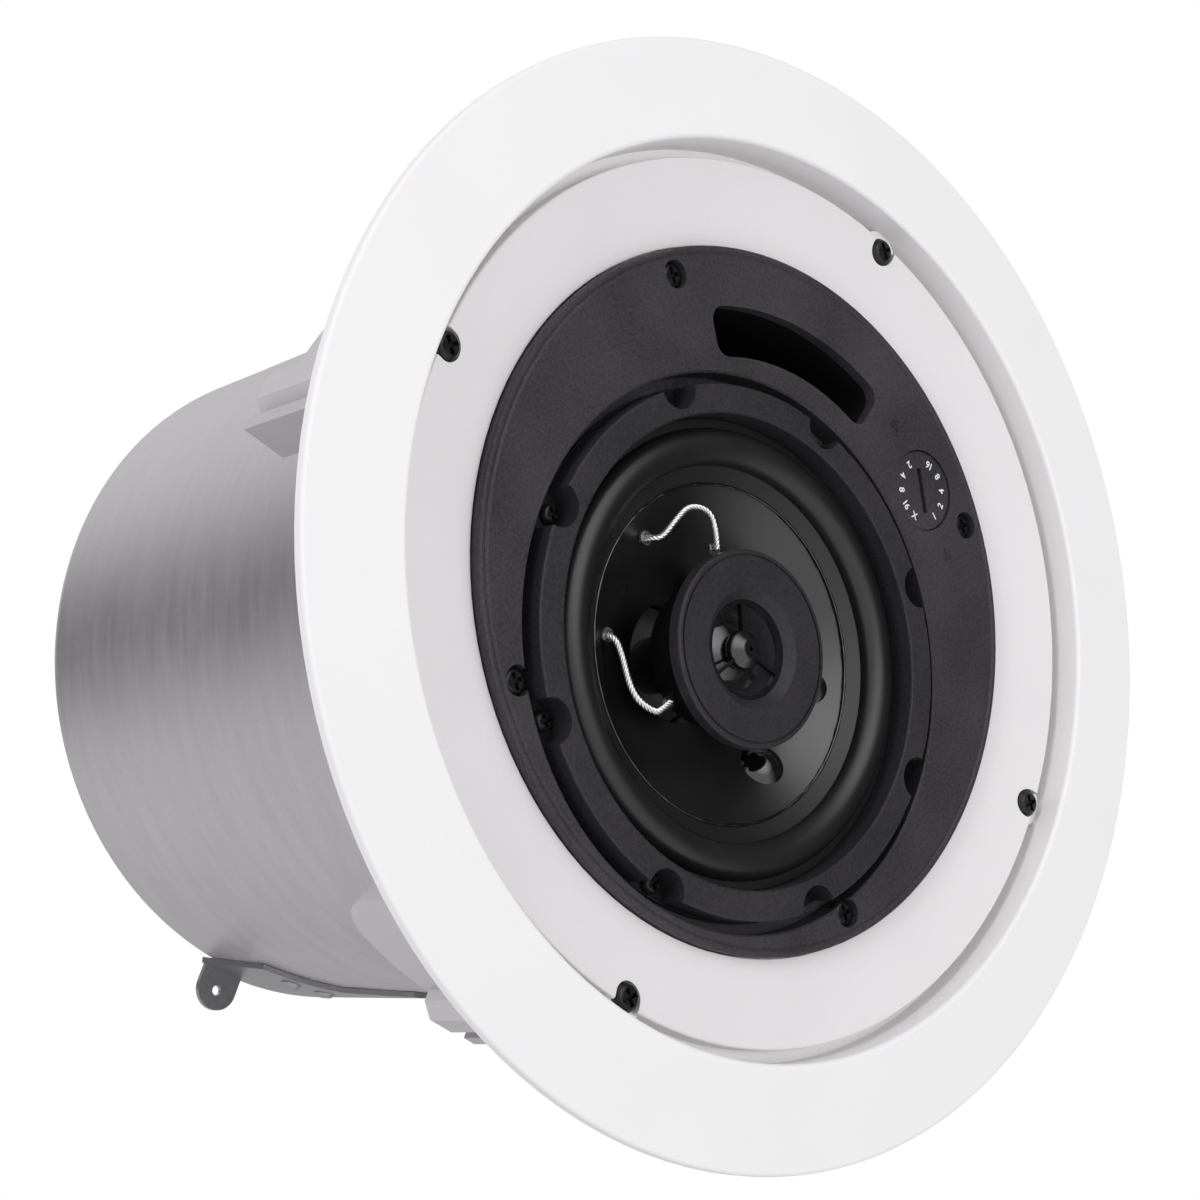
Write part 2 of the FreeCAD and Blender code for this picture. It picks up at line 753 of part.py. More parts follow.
def clamp_arm(angle):
    # octagonal hub on the screw, a leg that hugs the can and a foot that reaches down to the ceiling board
    centre = polar(clamp_circle, angle)
    place = (centre.x, centre.y)
    near = hub_half - hub_chamfer
    hub = prism([(-hub_half, -near), (-near, -hub_half), (near, -hub_half), (hub_half, -near), (hub_half, near),
                 (near, hub_half), (-near, hub_half), (-hub_half, near)], hub_front, hub_back, angle, place)
    rear = [e for e in hub.Edges if e.CenterOfMass.z > hub_back - 0.01]
    hub = hub.makeFillet(hub_back_round, rear)
    r_in = can_front_r + arm_can_clearance
    r_out = r_in + arm_wall
    leg = sector(r_in, r_out, angle, angle + arm_span, hub_back - arm_height, hub_back)
    foot = sector(r_in, r_out, angle + arm_span - foot_span, angle + arm_span, hub_back - foot_depth, hub_back)
    arm = leg.fuse(foot).removeSplitter()
    tip = [e for e in arm.Edges if e.Curve.TypeId == "Part::GeomLine" and e.CenterOfMass.z > hub_back - 0.01
           and (e.CenterOfMass - polar((r_in + r_out) / 2, angle + arm_span, hub_back)).Length < 0.6 * arm_wall]
    arm = arm.makeFillet(arm_tip_round, tip)
    body = hub.fuse(arm)
    pocket = disc(nut_r + running_gap, hub_back - nut_height, hub_back + past, place)
    seat = disc(nut_flange_r + running_gap, hub_front - past, hub_back - nut_height, place)
    bore = disc(clamp_screw_r + 3 * hole_clearance, hub_front - past, hub_back + past, place)
    return body.cut([pocket, seat, bore]).removeSplitter()


def back_can():
    inside_front = can_front_r - can_wall
    inside_back = can_back_r - can_wall
    body = turned([(inside_front, can_front), (can_front_r, can_front), (can_back_r, can_back, can_corner),
                   (0, can_back), (0, can_floor), (inside_back, can_floor, can_corner - can_wall)])
    for k in range(can_screw_count):
        angle = k * 360.0 / can_screw_count + can_screw_first
        start = polar(can_front_r - drill_half, angle, can_seat + can_screw_height)
        body = body.cut(Part.makeCylinder(can_screw_r + hole_clearance, 2 * drill_half, start, polar(1, angle)))
    body = body.cut(disc(wire_hole_r, can_floor - past, can_back + past))
    for x, y in strap_feet() + board_feet() + cover_feet():
        body = body.cut(disc(rivet_r, can_floor - past, can_back + past, (x, y)))
    for angle in rivet_angles:
        start = polar(can_back_r - drill_half, angle, can_back - rivet_set_in)
        body = body.cut(Part.makeCylinder(rivet_r, 2 * drill_half, start, polar(1, angle)))
    return body


def can_gasket():
    return ring(collar_r + glue_gap, can_front_r + gasket_proud, can_seat, can_front)


def can_screws():
    out = []
    for k in range(can_screw_count):
        angle = k * 360.0 / can_screw_count + can_screw_first
        level = can_seat + can_screw_height
        place = polar(can_r(level - can_screw_head_r) + seat_gap, angle, level)
        out.append(pan_screw(place, can_screw_r, can_screw_head_r, can_screw_head_h, can_screw_length,
                             polar(1, angle)))
    return out


def cover_feet():
    reach = cover_x / 2 + cover_foot - cover_screw_set_in
    return [(-reach, 0), (reach, 0)]


def terminal_cover():
    half_x = cover_x / 2
    half_y = cover_y / 2
    top = can_back + cover_h
    shell = prism([(-half_x, -half_y, cover_corner), (half_x, -half_y, cover_corner), (half_x, half_y, cover_corner),
                   (-half_x, half_y, cover_corner)], can_back, top)
    shell = shell.makeFillet(cover_round, [e for e in shell.Edges if e.CenterOfMass.z > top - 0.01])
    inner_x = half_x - cover_wall
    inner_y = half_y - cover_wall
    hollow = prism([(-inner_x, -inner_y, cover_corner - cover_wall), (inner_x, -inner_y, cover_corner - cover_wall),
                    (inner_x, inner_y, cover_corner - cover_wall), (-inner_x, inner_y, cover_corner - cover_wall)],
                   can_back - past, top - cover_wall)
    foot_x = half_x + cover_foot
    foot_y = cover_foot_half
    corner = cover_foot_corner
    foot = prism([(-foot_x, -foot_y, corner), (foot_x, -foot_y, corner), (foot_x, foot_y, corner),
                  (-foot_x, foot_y, corner)], can_back, can_back + cover_wall)
    body = shell.fuse(foot).cut(hollow)
    for x, y in cover_feet():
        body = body.cut(disc(rivet_r + hole_clearance, can_back - past, can_back + cover_wall + past, (x, y)))
    hole = Part.makeCylinder(gland_neck_r + glue_gap, 2 * drill_half,
                             V(0, half_y - drill_half, can_back + gland_height), V(0, 1, 0))
    return body.cut(hole)


def cover_screws():
    return [pan_screw(V(x, y, can_back + cover_wall), rivet_r, can_screw_head_r, can_screw_head_h,
                      cover_screw_length, UP)
            for x, y in cover_feet()]


def terminal_block():
    half_x = block_x / 2
    half_y = block_y / 2
    top = can_back + block_h
    y = -wire_hole_r - block_gap - half_y
    body = prism([(-half_x, -half_y, block_corner), (half_x, -half_y, block_corner), (half_x, half_y, block_corner),
                  (-half_x, half_y, block_corner)], can_back, top, 0, (0, y))
    pitch = block_x / block_ways
    for k in range(block_ways):
        x = (k + 0.5) * pitch - half_x
        body = body.cut(disc(block_screw_r, top - block_screw_depth, top + past, (x, y)))
        way = Part.makeCylinder(block_way_r, block_y + 2 * past, V(x, y - half_y - past, can_back + block_way_height),
                                V(0, 1, 0))
        body = body.cut(way)
        if k:
            notch = x - pitch / 2
            body = body.cut(block(notch - block_notch_half, notch + block_notch_half, y - block_y, y + block_y,
                                  top - block_notch_depth, top + past))
    return body


def cable_clamp():
    # threaded cable gland through the cover's side wall
    start = cover_y / 2
    level = can_back + gland_height
    body = turned([(gland_bore_r, -gland_neck_length), (gland_neck_r, -gland_neck_length), (gland_neck_r, 0),
                   (gland_r, 0), (gland_r, gland_length - gland_chamfer), (gland_r - gland_chamfer, gland_length),
                   (gland_bore_r, gland_length)])
    body.Placement = FreeCAD.Placement(V(0, start, level), FreeCAD.Rotation(UP, V(0, 1, 0)))
    return body


def can_shell_piece(gap, wall, z0, z1):
    # closed sleeve that follows the can's draft between two levels
    return turned([(can_r(z0) + gap, z0), (can_r(z0) + gap + wall, z0), (can_r(z1) + gap + wall, z1),
                   (can_r(z1) + gap, z1)])


def safety_bracket():
    # plate that follows the can's side, cut to its outline as seen from outside, with the ear bent out flat
    top = can_back - can_corner - bracket_top_set_in
    ear_top = can_floor
    plate = can_shell_piece(bracket_gap, bracket_wall, can_back - bracket_reach - past, ear_top)
    middle = (bracket_outline[0][0] + bracket_outline[-1][0]) / 2
    across = lambda angle: can_back_r * sin(radians(angle - middle))
    wire = rounded_wire([(across(angle), can_back - set_in) for angle, set_in in bracket_outline],
                        lambda p: V(can_back_r / 2, p.x, p.y))
    window = Part.Face(wire).extrude(V(can_back_r, 0, 0))
    window.rotate(V(0, 0, 0), UP, middle)
    plate = plate.common(window)
    root = can_r(top) + bracket_gap
    hole_circle = can_back_r + ear_hole_out
    end = hole_circle + ear_tip
    corner = ear_half - ear_corner_rest
    ear = prism([(root, -ear_half), (end, -ear_half, corner), (end, ear_half, corner), (root, ear_half)],
                ear_top - bracket_wall, ear_top, ear_angle)
    body = plate.fuse(ear)
    centre = polar(hole_circle, ear_angle)
    body = body.cut(disc(ear_hole_r, ear_top - bracket_wall - past, ear_top + past, (centre.x, centre.y)))
    for angle in rivet_angles:
        start = polar(can_back_r - drill_half, angle, can_back - rivet_set_in)
        body = body.cut(Part.makeCylinder(rivet_r, 4 * drill_half, start, polar(1, angle)))
    return body.removeSplitter()


def bracket_rivets():
    out = []
    level = can_back - rivet_set_in
    for angle in rivet_angles:
        seat = can_r(level) + bracket_gap + bracket_wall + rivet_seat_gap
        length = seat - can_r(level) + can_wall + rivet_tail
        out.append(pan_rivet(polar(seat, angle, level), length, polar(1, angle)))
    return out


def pan_rivet(place, length, axis):
    # rivet with a low round head; place is the middle of the head's underside
    head = turned([(0, 0), (rivet_head_r, 0), (rivet_head_r * 0.7, rivet_head_h, rivet_head_h * 0.6),
                   (0, rivet_head_h)])
    body = head.fuse(Part.makeCylinder(rivet_r, length, V(0, 0, -length))).removeSplitter()
    body.Placement = FreeCAD.Placement(place, FreeCAD.Rotation(UP, axis))
    return body


def strap_feet():
    reach = core_y / 2 + strap_wall + strap_foot / 2
    return [(core_x_place, -reach), (core_x_place, reach)]


def transformer():
    # laminated core, its winding and the strap that holds both on the can's back wall
    back = can_floor - core_stand_off
    front = back - core_h
    half_x = core_x / 2
    half_y = core_y / 2
    place = (core_x_place, 0)
    core = block(-half_x, half_x, -half_y, half_y, front, back, 0, place)
    window_x = (core_x - core_leg) / 2 - core_yoke
    for side in (-1, 1):
        middle = side * (core_leg / 2 + window_x / 2)
        core = core.cut(block(middle - window_x / 2, middle + window_x / 2, -half_y + core_yoke, half_y - core_yoke,
                              front - past, back + past, 0, place))
    gap = winding_clearance
    outer_x = core_leg / 2 + window_x - gap
    outer_y = half_y - core_yoke - gap
    inner_x = core_leg / 2 + gap
    corner = winding_corner
    winding = prism([(-outer_x, -outer_y, corner), (outer_x, -outer_y, corner), (outer_x, outer_y, corner),
                     (-outer_x, outer_y, corner)], front - winding_over, back + winding_over, 0, place)
    winding = winding.cut(block(-inner_x, inner_x, -half_y, half_y, front - gap, back + gap, 0, place))
    half = strap_foot / 2
    side = half_y + strap_wall
    over = block(-half, half, -side, side, front - winding_over - strap_wall, can_floor, 0, place)
    over = over.cut(block(-strap_foot, strap_foot, -half_y, half_y, front - winding_over, can_floor + past, 0, place))
    feet = block(-half, half, -side - strap_foot, side + strap_foot, can_floor - strap_wall, can_floor, 0, place)
    feet = feet.cut(block(-strap_foot, strap_foot, -half_y, half_y, can_floor - strap_foot, can_floor + past,
                          0, place))
    strap = over.fuse(feet)
    for x, y in strap_feet():
        strap = strap.cut(disc(rivet_r, can_floor - strap_foot, can_floor + past, (x, y)))
    return core, winding, strap.removeSplitter()


def strap_rivets():
    return [pan_rivet(V(x, y, can_floor - strap_wall - seat_gap), strap_wall + can_wall + rivet_tail, -UP)
            for x, y in strap_feet()]


def board_feet():
    half_y = board_y / 2 - post_set_in
    return [(board_x_place, -half_y), (board_x_place, half_y)]


def crossover():
    front = can_floor - board_stand_off - board_wall
    back = front + board_wall
    half_x = board_x / 2
    half_y = board_y / 2
    board = block(-half_x, half_x, -half_y, half_y, front, back, 0, (board_x_place, 0))
    posts = []
    for x, y in board_feet():
        board = board.cut(disc(rivet_r, front - past, back + past, (x, y)))
        post = disc(post_r, back, can_floor, (x, y))
        pin = disc(rivet_r - seat_gap, front - post_pin_out, can_floor + can_wall / 2, (x, y))
        posts.append(post.fuse(pin).removeSplitter())
    coil = ring(coil_r_in, coil_r_out, front - coil_h, front, (board_x_place, coil_y_place))
    cap_y = coil_y_place - coil_r_out - board_part_gap - cap_r
    cap = Part.makeCylinder(cap_r, cap_length, V(board_x_place - cap_length / 2, cap_y, front - cap_r), V(1, 0, 0))
    cap = cap.makeFillet(cap_round, [e for e in cap.Edges if e.Curve.TypeId == "Part::GeomCircle"])
    return board, posts, coil, cap


def mounting_ring():
    body = turned([(ring_r_in, ring_front, ring_round), (ring_r_out, ring_front, ring_round),
                   (ring_r_out, basket_front), (ring_r_in, basket_front)], driver)
    for angle in notch_angles:
        centre = polar(ring_r_out, angle, 0, driver)
        body = body.cut(disc(notch_r, ring_front - past, basket_front + past, (centre.x, centre.y)))
    return body


def basket():
    # outer points are measured from the inner ones, so that the pressed sheet keeps its wall round each bend
    edge = ring_r_out + basket_edge_over
    body = turned([
        (edge, basket_front), (edge, seat_front), (basket_lip_r + 0.6 * basket_wall, seat_front),
        (basket_waist_r + 0.5 * basket_wall, basket_waist + basket_wall),
        (basket_shelf_r + 0.9 * basket_wall, basket_waist + basket_wall),
        (basket_shelf_r + 0.2 * basket_wall, basket_floor), (basket_floor_r, basket_floor),
        (basket_floor_r, basket_floor - basket_wall),
        (basket_shelf_r - 0.8 * basket_wall, basket_floor - basket_wall), (basket_shelf_r, basket_waist),
        (basket_waist_r, basket_waist),
        (basket_lip_r - 0.4 * basket_wall, basket_front + basket_lip_drop, basket_lip_round),
        (basket_lip_r, basket_front)], driver)
    for k in range(basket_window_count):
        middle = strip_angle + (k + 0.5) * 360.0 / basket_window_count
        window = sector(basket_waist_r - past, ring_r_out, middle - basket_window_half,
                        middle + basket_window_half, seat_front + basket_window_in,
                        basket_waist - basket_window_rest, basket_window_corner)
        window.translate(V(driver[0], driver[1], 0))
        body = body.cut(window)
    for angle in notch_angles:
        centre = polar(driver_screw_circle, angle, 0, driver)
        body = body.cut(disc(driver_screw_r + hole_clearance, 0, seat_front + past, (centre.x, centre.y)))
    return strip_holes(body, lead_r + web_hole_gap)


def driver_screws():
    return [pan_screw(polar(driver_screw_circle, a, basket_front, driver), driver_screw_r, driver_screw_head_r,
                      driver_screw_head_h, driver_screw_length) for a in notch_angles]


def half_roll(r_mid, radius, level, wall, r_out, r_in):
    # rubber half roll with a flat outer land and a sloping inner land, as one turned face
    crest = level - radius
    thin = radius - wall
    c = V(driver[0], driver[1], 0)
    p = lambda r, z: V(c.x + r, c.y, z)
    outer_top = p(r_mid + radius, level)
    inner_top = p(r_mid - radius, level)
    back_outer = p(r_mid + thin, basket_front)
    back_inner = p(r_mid - thin, level + land_wall)
    edges = [
        Part.LineSegment(p(r_out, basket_front), p(r_out, basket_front - wall)).toShape(),
        Part.LineSegment(p(r_out, basket_front - wall), p(r_mid + radius, basket_front - wall)).toShape()]
    if basket_front - wall > level + 1e-6 or basket_front - wall < level - 1e-6:
        edges.append(Part.LineSegment(p(r_mid + radius, basket_front - wall), outer_top).toShape())
    edges += [
        Part.Arc(outer_top, p(r_mid, crest), inner_top).toShape(),
        Part.LineSegment(inner_top, p(r_in, land_level(r_in))).toShape(),
        Part.LineSegment(p(r_in, land_level(r_in)), p(r_in, land_level(r_in) + land_wall)).toShape(),
        Part.LineSegment(p(r_in, land_level(r_in) + land_wall), p(r_mid - radius, level + land_wall)).toShape(),
        Part.LineSegment(p(r_mid - radius, level + land_wall), back_inner).toShape(),
        Part.Arc(back_inner, p(r_mid, crest + wall), back_outer).toShape(),
        Part.LineSegment(back_outer, p(r_out, basket_front)).toShape()]
    return Part.Face(Part.Wire(edges)).revolve(c, UP, 360)


def cone():
    edge_r = roll_r_inner
    edge_z = land_level(edge_r) + land_wall
    body = turned([
        (edge_r, edge_z), (land_inner_r, cone_level(land_inner_r)), (former_r + glue_gap, cone_neck),
        (former_r + glue_gap, cone_neck + cone_neck_wall),
        (land_inner_r + (cone_edge_wall - cone_wall) / cone_wall, cone_level(land_inner_r) + cone_edge_wall),
        (edge_r, edge_z + cone_wall)], driver)
    for angle in eyelet_angles:
        place = polar(eyelet_circle, angle, 0, driver)
        body = body.cut(disc(lead_r + lead_hole_gap, 0, cone_neck + past, (place.x, place.y)))
    return body


def spider():
    # corrugated cloth disc from the coil former out to the basket's shelf
    r0 = former_r + glue_gap
    r1 = basket_shelf_r + 0.3 * basket_wall
    r2 = basket_waist_r - 0.4 * basket_wall
    top = basket_waist - spider_wall
    step = (r1 - r0 - 2 * spider_land) / (2 * spider_waves)
    front = [(r0, top), (r0 + spider_land, top)]
    back = [(r0, top + spider_wall), (r0 + spider_land, top + spider_wall)]
    for k in range(2 * spider_waves - 1):
        radius = r0 + spider_land + (k + 1) * step
        shift = -spider_wave if k % 2 == 0 else spider_wave * 0.6
        front.append((radius, top + shift, spider_round))
        back.append((radius, top + shift + spider_wall, spider_round))
    front += [(r1 - spider_land, top), (r2, top)]
    back += [(r1 - spider_land, top + spider_wall), (r2, top + spider_wall)]
    return turned(front + back[::-1], driver)


def tweeter_face():
    body = turned([
        (mouth_r, face_front), (face_groove_r - face_groove_width / 2, face_front),
        (face_groove_r - face_groove_width / 2, face_front + face_groove_depth),
        (face_groove_r + face_groove_width / 2, face_front + face_groove_depth),
        (face_groove_r + face_groove_width / 2, face_front), (face_r, face_front, face_round),
        (face_r, face_front + face_wall), (cup_r - cup_wall - glue_gap, face_front + face_wall),
        (cup_r - cup_wall - glue_gap, face_spigot_back), (horn_r, face_spigot_back),
        (throat_r - shield_ring_wall, shield_seat), (throat_r, shield_seat), (throat_r, throat_back)], driver)
    return body


def phase_shield():
    front = throat_back + shield_front_gap
    body = ring(throat_r - shield_ring_wall, throat_r - glue_gap, front, shield_seat, driver)
    bullet = turned([(0, plug_tip), (plug_r * 0.45, plug_tip, plug_tip_round),
                     (plug_r, plug_tip + plug_shoulder, plug_side_round), (plug_r * 0.9, plug_back),
                     (0, plug_back)], driver)
    body = body.fuse(bullet)
    for k in range(spoke_count):
        angle = spoke_first + k * 360.0 / spoke_count
        body = body.fuse(block(plug_r * 0.7, throat_r - shield_ring_wall / 2, -spoke_wall / 2, spoke_wall / 2,
                               front, shield_seat, angle, driver))
    return body.cut(disc(plug_hole_r, plug_tip - past, plug_tip + plug_hole_depth, driver)).removeSplitter()


def tweeter_dome():
    # thin dome and its flat flange, drawn from one film
    rise = (dome_r ** 2 + dome_h ** 2) / (2 * dome_h)
    level = face_spigot_back
    edge = cup_r - cup_wall - dome_fit
    c = V(driver[0], driver[1], 0)
    p = lambda r, z: V(c.x + r, c.y, z)
    lift = rise - dome_h
    side = atan2(dome_r, lift) / 2
    outside = Part.Arc(p(0, level - dome_h), p(rise * sin(side), level + lift - rise * cos(side)), p(dome_r, level))
    inner = rise - dome_wall
    foot_r = (inner ** 2 - lift ** 2) ** 0.5
    side_in = atan2(foot_r, lift) / 2
    inside = Part.Arc(p(foot_r, level), p(inner * sin(side_in), level + lift - inner * cos(side_in)),
                      p(0, level - dome_h + dome_wall))
    edges = [outside.toShape(), Part.LineSegment(p(dome_r, level), p(edge, level)).toShape(),
             Part.LineSegment(p(edge, level), p(edge, level + dome_flange_h)).toShape(),
             Part.LineSegment(p(edge, level + dome_flange_h), p(foot_r, level + dome_flange_h)).toShape(),
             Part.LineSegment(p(foot_r, level + dome_flange_h), p(foot_r, level)).toShape(), inside.toShape(),
             Part.LineSegment(p(0, level - dome_h + dome_wall), p(0, level - dome_h)).toShape()]
    return Part.Face(Part.Wire(edges)).revolve(c, UP, 360)


def tweeter_cup():
    level = face_front + face_wall
    body = turned([(cup_r - cup_wall, level), (cup_r, level), (cup_r, cup_back, cup_round), (pole_bore_r, cup_back),
                   (pole_bore_r, cup_back - cup_floor), (cup_r - cup_wall, cup_back - cup_floor)], driver)
    for angle in tag_angles:
        side = tag_half + tag_boss_side
        body = body.fuse(block(cup_r - root_in, cup_r + tag_boss_out, -side, side, tag_level,
                               tag_level + tag_boss_height, angle, driver))
    return body.removeSplitter()


def tweeter_tags():
    start = cup_r + tag_gap
    return [prism([(start, -tag_half), (tag_reach, -tag_half, tag_corner), (tag_reach, tag_half, tag_corner),
                   (start, tag_half)], tag_level - tag_wall, tag_level, a, driver) for a in tag_angles]


def eyelets():
    out = []
    for angle in eyelet_angles:
        place = polar(eyelet_circle, angle, 0, driver)
        level = cone_level(eyelet_circle + eyelet_r)
        out.append(ring(lead_r + glue_gap, eyelet_r, level - eyelet_h, level, (place.x, place.y)))
    return out


def front_leads():
    # bare braid from each eyelet on the cone up and over to a tag beside the tweeter
    out = []
    for eyelet, tag, route in zip(eyelet_angles, tag_angles, lead_routes):
        low = cone_level(eyelet_circle + eyelet_r) + lead_r
        start = [polar(eyelet_circle, eyelet, low, driver), polar(eyelet_circle, eyelet, low - lead_drop, driver)]
        bends = [polar(radius, angle, z, driver) for radius, angle, z in route]
        end = polar(tag_reach - lead_set_in, tag, tag_level - tag_wall - lead_r, driver)
        out.append(tube_along(start + bends + [end], lead_r))
    return out


def strip_face():
    # radius at which an upright board just touches the basket's sloping web at the board's front edge
    fall = (strip_front() - seat_front) / (basket_waist + basket_wall - seat_front)
    outer_lip = basket_lip_r + 0.6 * basket_wall
    outer_waist = basket_waist_r + 0.5 * basket_wall
    return outer_lip - fall * (outer_lip - outer_waist) + seat_gap


def strip_front():
    return basket_waist - strip_drop


def strip_ends():
    return [strip_angle + side * strip_spread for side in (1, -1)]


def rear_leads():
    # the same braid behind the cone, from each eyelet out through the web to a blade on the strip
    out = []
    for eyelet, end_angle, side in zip(eyelet_angles, strip_ends(), (1, -1)):
        low = cone_level(eyelet_circle + eyelet_r) + rear_lead_start
        level = strip_front() + strip_hole_in
        route = [polar(eyelet_circle, eyelet, low, driver),
                 polar(eyelet_circle, eyelet, low + rear_lead_rise, driver),
                 polar(eyelet_circle + rear_lead_bend_out, eyelet - side * rear_lead_bend_turn,
                       low + rear_lead_bend_rise, driver),
                 polar(eyelet_circle + rear_lead_end_out, end_angle + side * rear_lead_end_turn, level, driver),
                 polar(strip_face() + strip_wall, end_angle, level, driver)]
        out.append(tube_along(route, lead_r))
    return out


def strip_holes(body, radius):
    # the same two holes through the web and the board, square to the board
    for end_angle in strip_ends():
        start = polar(strip_face() * 0.7, end_angle, strip_front() + strip_hole_in, driver)
        body = body.cut(Part.makeCylinder(radius, strip_face() / 2, start, polar(1, end_angle)))
    return body


def driver_terminals():
    # fibre strip across the basket's web with two blades
    lean = strip_face()
    board = block(lean, lean + strip_wall, -strip_half, strip_half, strip_front(), strip_front() + strip_depth,
                  strip_angle, driver)
    blades = []
    for end_angle in strip_ends():
        y = lean * sin(radians(end_angle - strip_angle))
        blades.append(block(lean + strip_wall, lean + strip_wall + blade_wall, y - blade_half, y + blade_half,
                            strip_front() + strip_hole_in - 2 * lead_r, strip_front() + strip_depth + blade_length,
                            strip_angle, driver))
    return strip_holes(board, lead_r + strip_hole_gap), blades


def glue_dabs():
    # flat drops of glue on the cone; each is the part of a ball that stands proud of the cone's front face
    out = []
    solid_cone = turned([(0, cone_level(0)), (ring_r_out, cone_level(ring_r_out)), (ring_r_out, former_back),
                         (0, former_back)], driver)
    for set_in, angle, ball_r, sunk in dab_places:
        radius = land_inner_r - set_in
        drop = Part.makeSphere(ball_r, polar(radius, angle, cone_level(radius) + sunk, driver))
        out.append(drop.cut(solid_cone))
    return out


def damping_lining():
    back = can_floor - lining_back_gap
    r0 = can_r(lining_front) - can_wall - seat_gap
    r1 = can_r(back) - can_wall - seat_gap
    return turned([(r0 - lining_wall, lining_front), (r0, lining_front), (r1, back), (r1 - lining_wall, back)])


def main():
    os.makedirs("parts", exist_ok=True)
    save("flange_baffle", flange_baffle())
    save("bezel", bezel())
    save("bezel_screws", bezel_screws())
    save("port_duct", port_duct())
    save("tap_dial", tap_dial())
    save("tap_switch_body", tap_switch_body())
    for k, angle in enumerate(clamp_angles):
        save("clamp_screw_%d" % (k + 1), clamp_screw(angle))
        save("clamp_nut_%d" % (k + 1), clamp_nut(angle))
        save("clamp_arm_%d" % (k + 1), clamp_arm(angle))
    save("back_can", back_can())
    save("can_gasket", can_gasket())
    save("can_screws", can_screws())
    save("terminal_cover", terminal_cover())
    save("cover_screws", cover_screws())
    save("terminal_block", terminal_block())
    save("cable_clamp", cable_clamp())
    save("safety_bracket", safety_bracket())
    save("bracket_rivets", bracket_rivets())
    core, winding, strap = transformer()
    save("transformer_core", core)
    save("transformer_winding", winding)
    save("transformer_strap", strap)
    save("strap_rivets", strap_rivets())
    board, posts, coil, cap = crossover()
    save("crossover_board", board)
    save("board_posts", posts)
    save("crossover_coil", coil)
    save("crossover_capacitor", cap)
    save("mounting_ring", mounting_ring())
    save("basket", basket())
    save("driver_screws", driver_screws())
    save("surround", half_roll(roll_r_mid, roll_r, land_front, surround_wall, surround_r_out, land_inner_r))
    save("cone", cone())
    save("coil_former", ring(former_r - former_wall, former_r, cone_neck, former_back, driver))
    save("voice_coil", ring(former_r + glue_gap, former_r + coil_wall, former_back - coil_height, former_back,
                            driver))
    save("spider", spider())
    save("top_plate", ring(former_r + coil_wall + gap_outside, plate_r, top_plate_front, magnet_front, driver))
    save("magnet", ring(magnet_r_in, magnet_r, magnet_front, yoke_front, driver))
    pole = disc(former_r - former_wall - pole_gap, top_plate_front, yoke_front, driver)
    yoke = disc(plate_r, yoke_front, yoke_back, driver).fuse(pole)
    save("yoke", yoke.cut(disc(pole_bore_r, top_plate_front - past, yoke_back + past, driver)).removeSplitter())
    save("tweeter_face", tweeter_face())
    save("phase_shield", phase_shield())
    save("tweeter_dome", tweeter_dome())
    save("tweeter_plate", disc(cup_r - cup_wall - dome_fit, face_spigot_back + dome_flange_h,
                               face_spigot_back + dome_flange_h + slug_plate_h, driver))
    save("tweeter_magnet", disc(magnet_slug_r, face_spigot_back + dome_flange_h + slug_plate_h,
                                cup_back - cup_floor, driver))
    save("tweeter_cup", tweeter_cup())
    save("tweeter_post", disc(post_r_tweeter, cup_back, top_plate_front, driver).cut(
        disc(pole_bore_r, cup_back - past, top_plate_front + past, driver)))
    save("tweeter_tags", tweeter_tags())
    save("cone_eyelets", eyelets())
    save("glue_dabs", glue_dabs())
    save("tinsel_leads", front_leads() + rear_leads())
    strip, blades = driver_terminals()
    save("terminal_strip", strip)
    save("terminal_blades", blades)
    save("damping_lining", damping_lining())
    print(len(saved), "nodes")


main()
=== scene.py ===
import json
import math

import bpy
import numpy as np
from mathutils import Matrix, Vector


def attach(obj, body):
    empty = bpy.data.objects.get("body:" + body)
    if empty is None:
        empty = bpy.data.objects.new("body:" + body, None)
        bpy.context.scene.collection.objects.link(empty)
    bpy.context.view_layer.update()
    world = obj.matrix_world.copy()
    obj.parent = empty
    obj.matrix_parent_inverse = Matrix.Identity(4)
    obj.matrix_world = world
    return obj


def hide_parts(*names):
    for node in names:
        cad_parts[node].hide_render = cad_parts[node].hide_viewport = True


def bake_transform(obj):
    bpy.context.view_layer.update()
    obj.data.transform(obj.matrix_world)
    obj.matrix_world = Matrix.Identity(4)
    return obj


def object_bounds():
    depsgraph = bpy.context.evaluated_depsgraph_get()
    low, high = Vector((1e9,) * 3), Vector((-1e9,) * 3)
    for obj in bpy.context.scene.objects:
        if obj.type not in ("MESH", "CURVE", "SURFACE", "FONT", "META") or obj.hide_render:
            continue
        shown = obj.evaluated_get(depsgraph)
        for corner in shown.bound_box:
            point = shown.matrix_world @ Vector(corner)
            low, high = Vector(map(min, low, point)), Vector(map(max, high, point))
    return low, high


# ceiling speaker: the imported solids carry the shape, this script adds finishes, soft pieces and fine detail
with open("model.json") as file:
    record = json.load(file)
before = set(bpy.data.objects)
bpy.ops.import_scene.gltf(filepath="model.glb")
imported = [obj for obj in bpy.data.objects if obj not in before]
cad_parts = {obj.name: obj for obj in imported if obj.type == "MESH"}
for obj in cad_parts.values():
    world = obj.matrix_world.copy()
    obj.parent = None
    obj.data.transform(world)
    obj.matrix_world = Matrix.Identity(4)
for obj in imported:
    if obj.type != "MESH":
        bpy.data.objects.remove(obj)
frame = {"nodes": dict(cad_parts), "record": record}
nodes = frame["nodes"]
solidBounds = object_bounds()
mm = 0.001
scene = bpy.context.scene
scene.view_settings.view_transform = "Standard"

# centres of the driver and of the tap dial, in mm
driver = (9.1217, -9.1217)
dial = (57.5 * math.cos(math.radians(169.6)), 57.5 * math.sin(math.radians(169.6)))


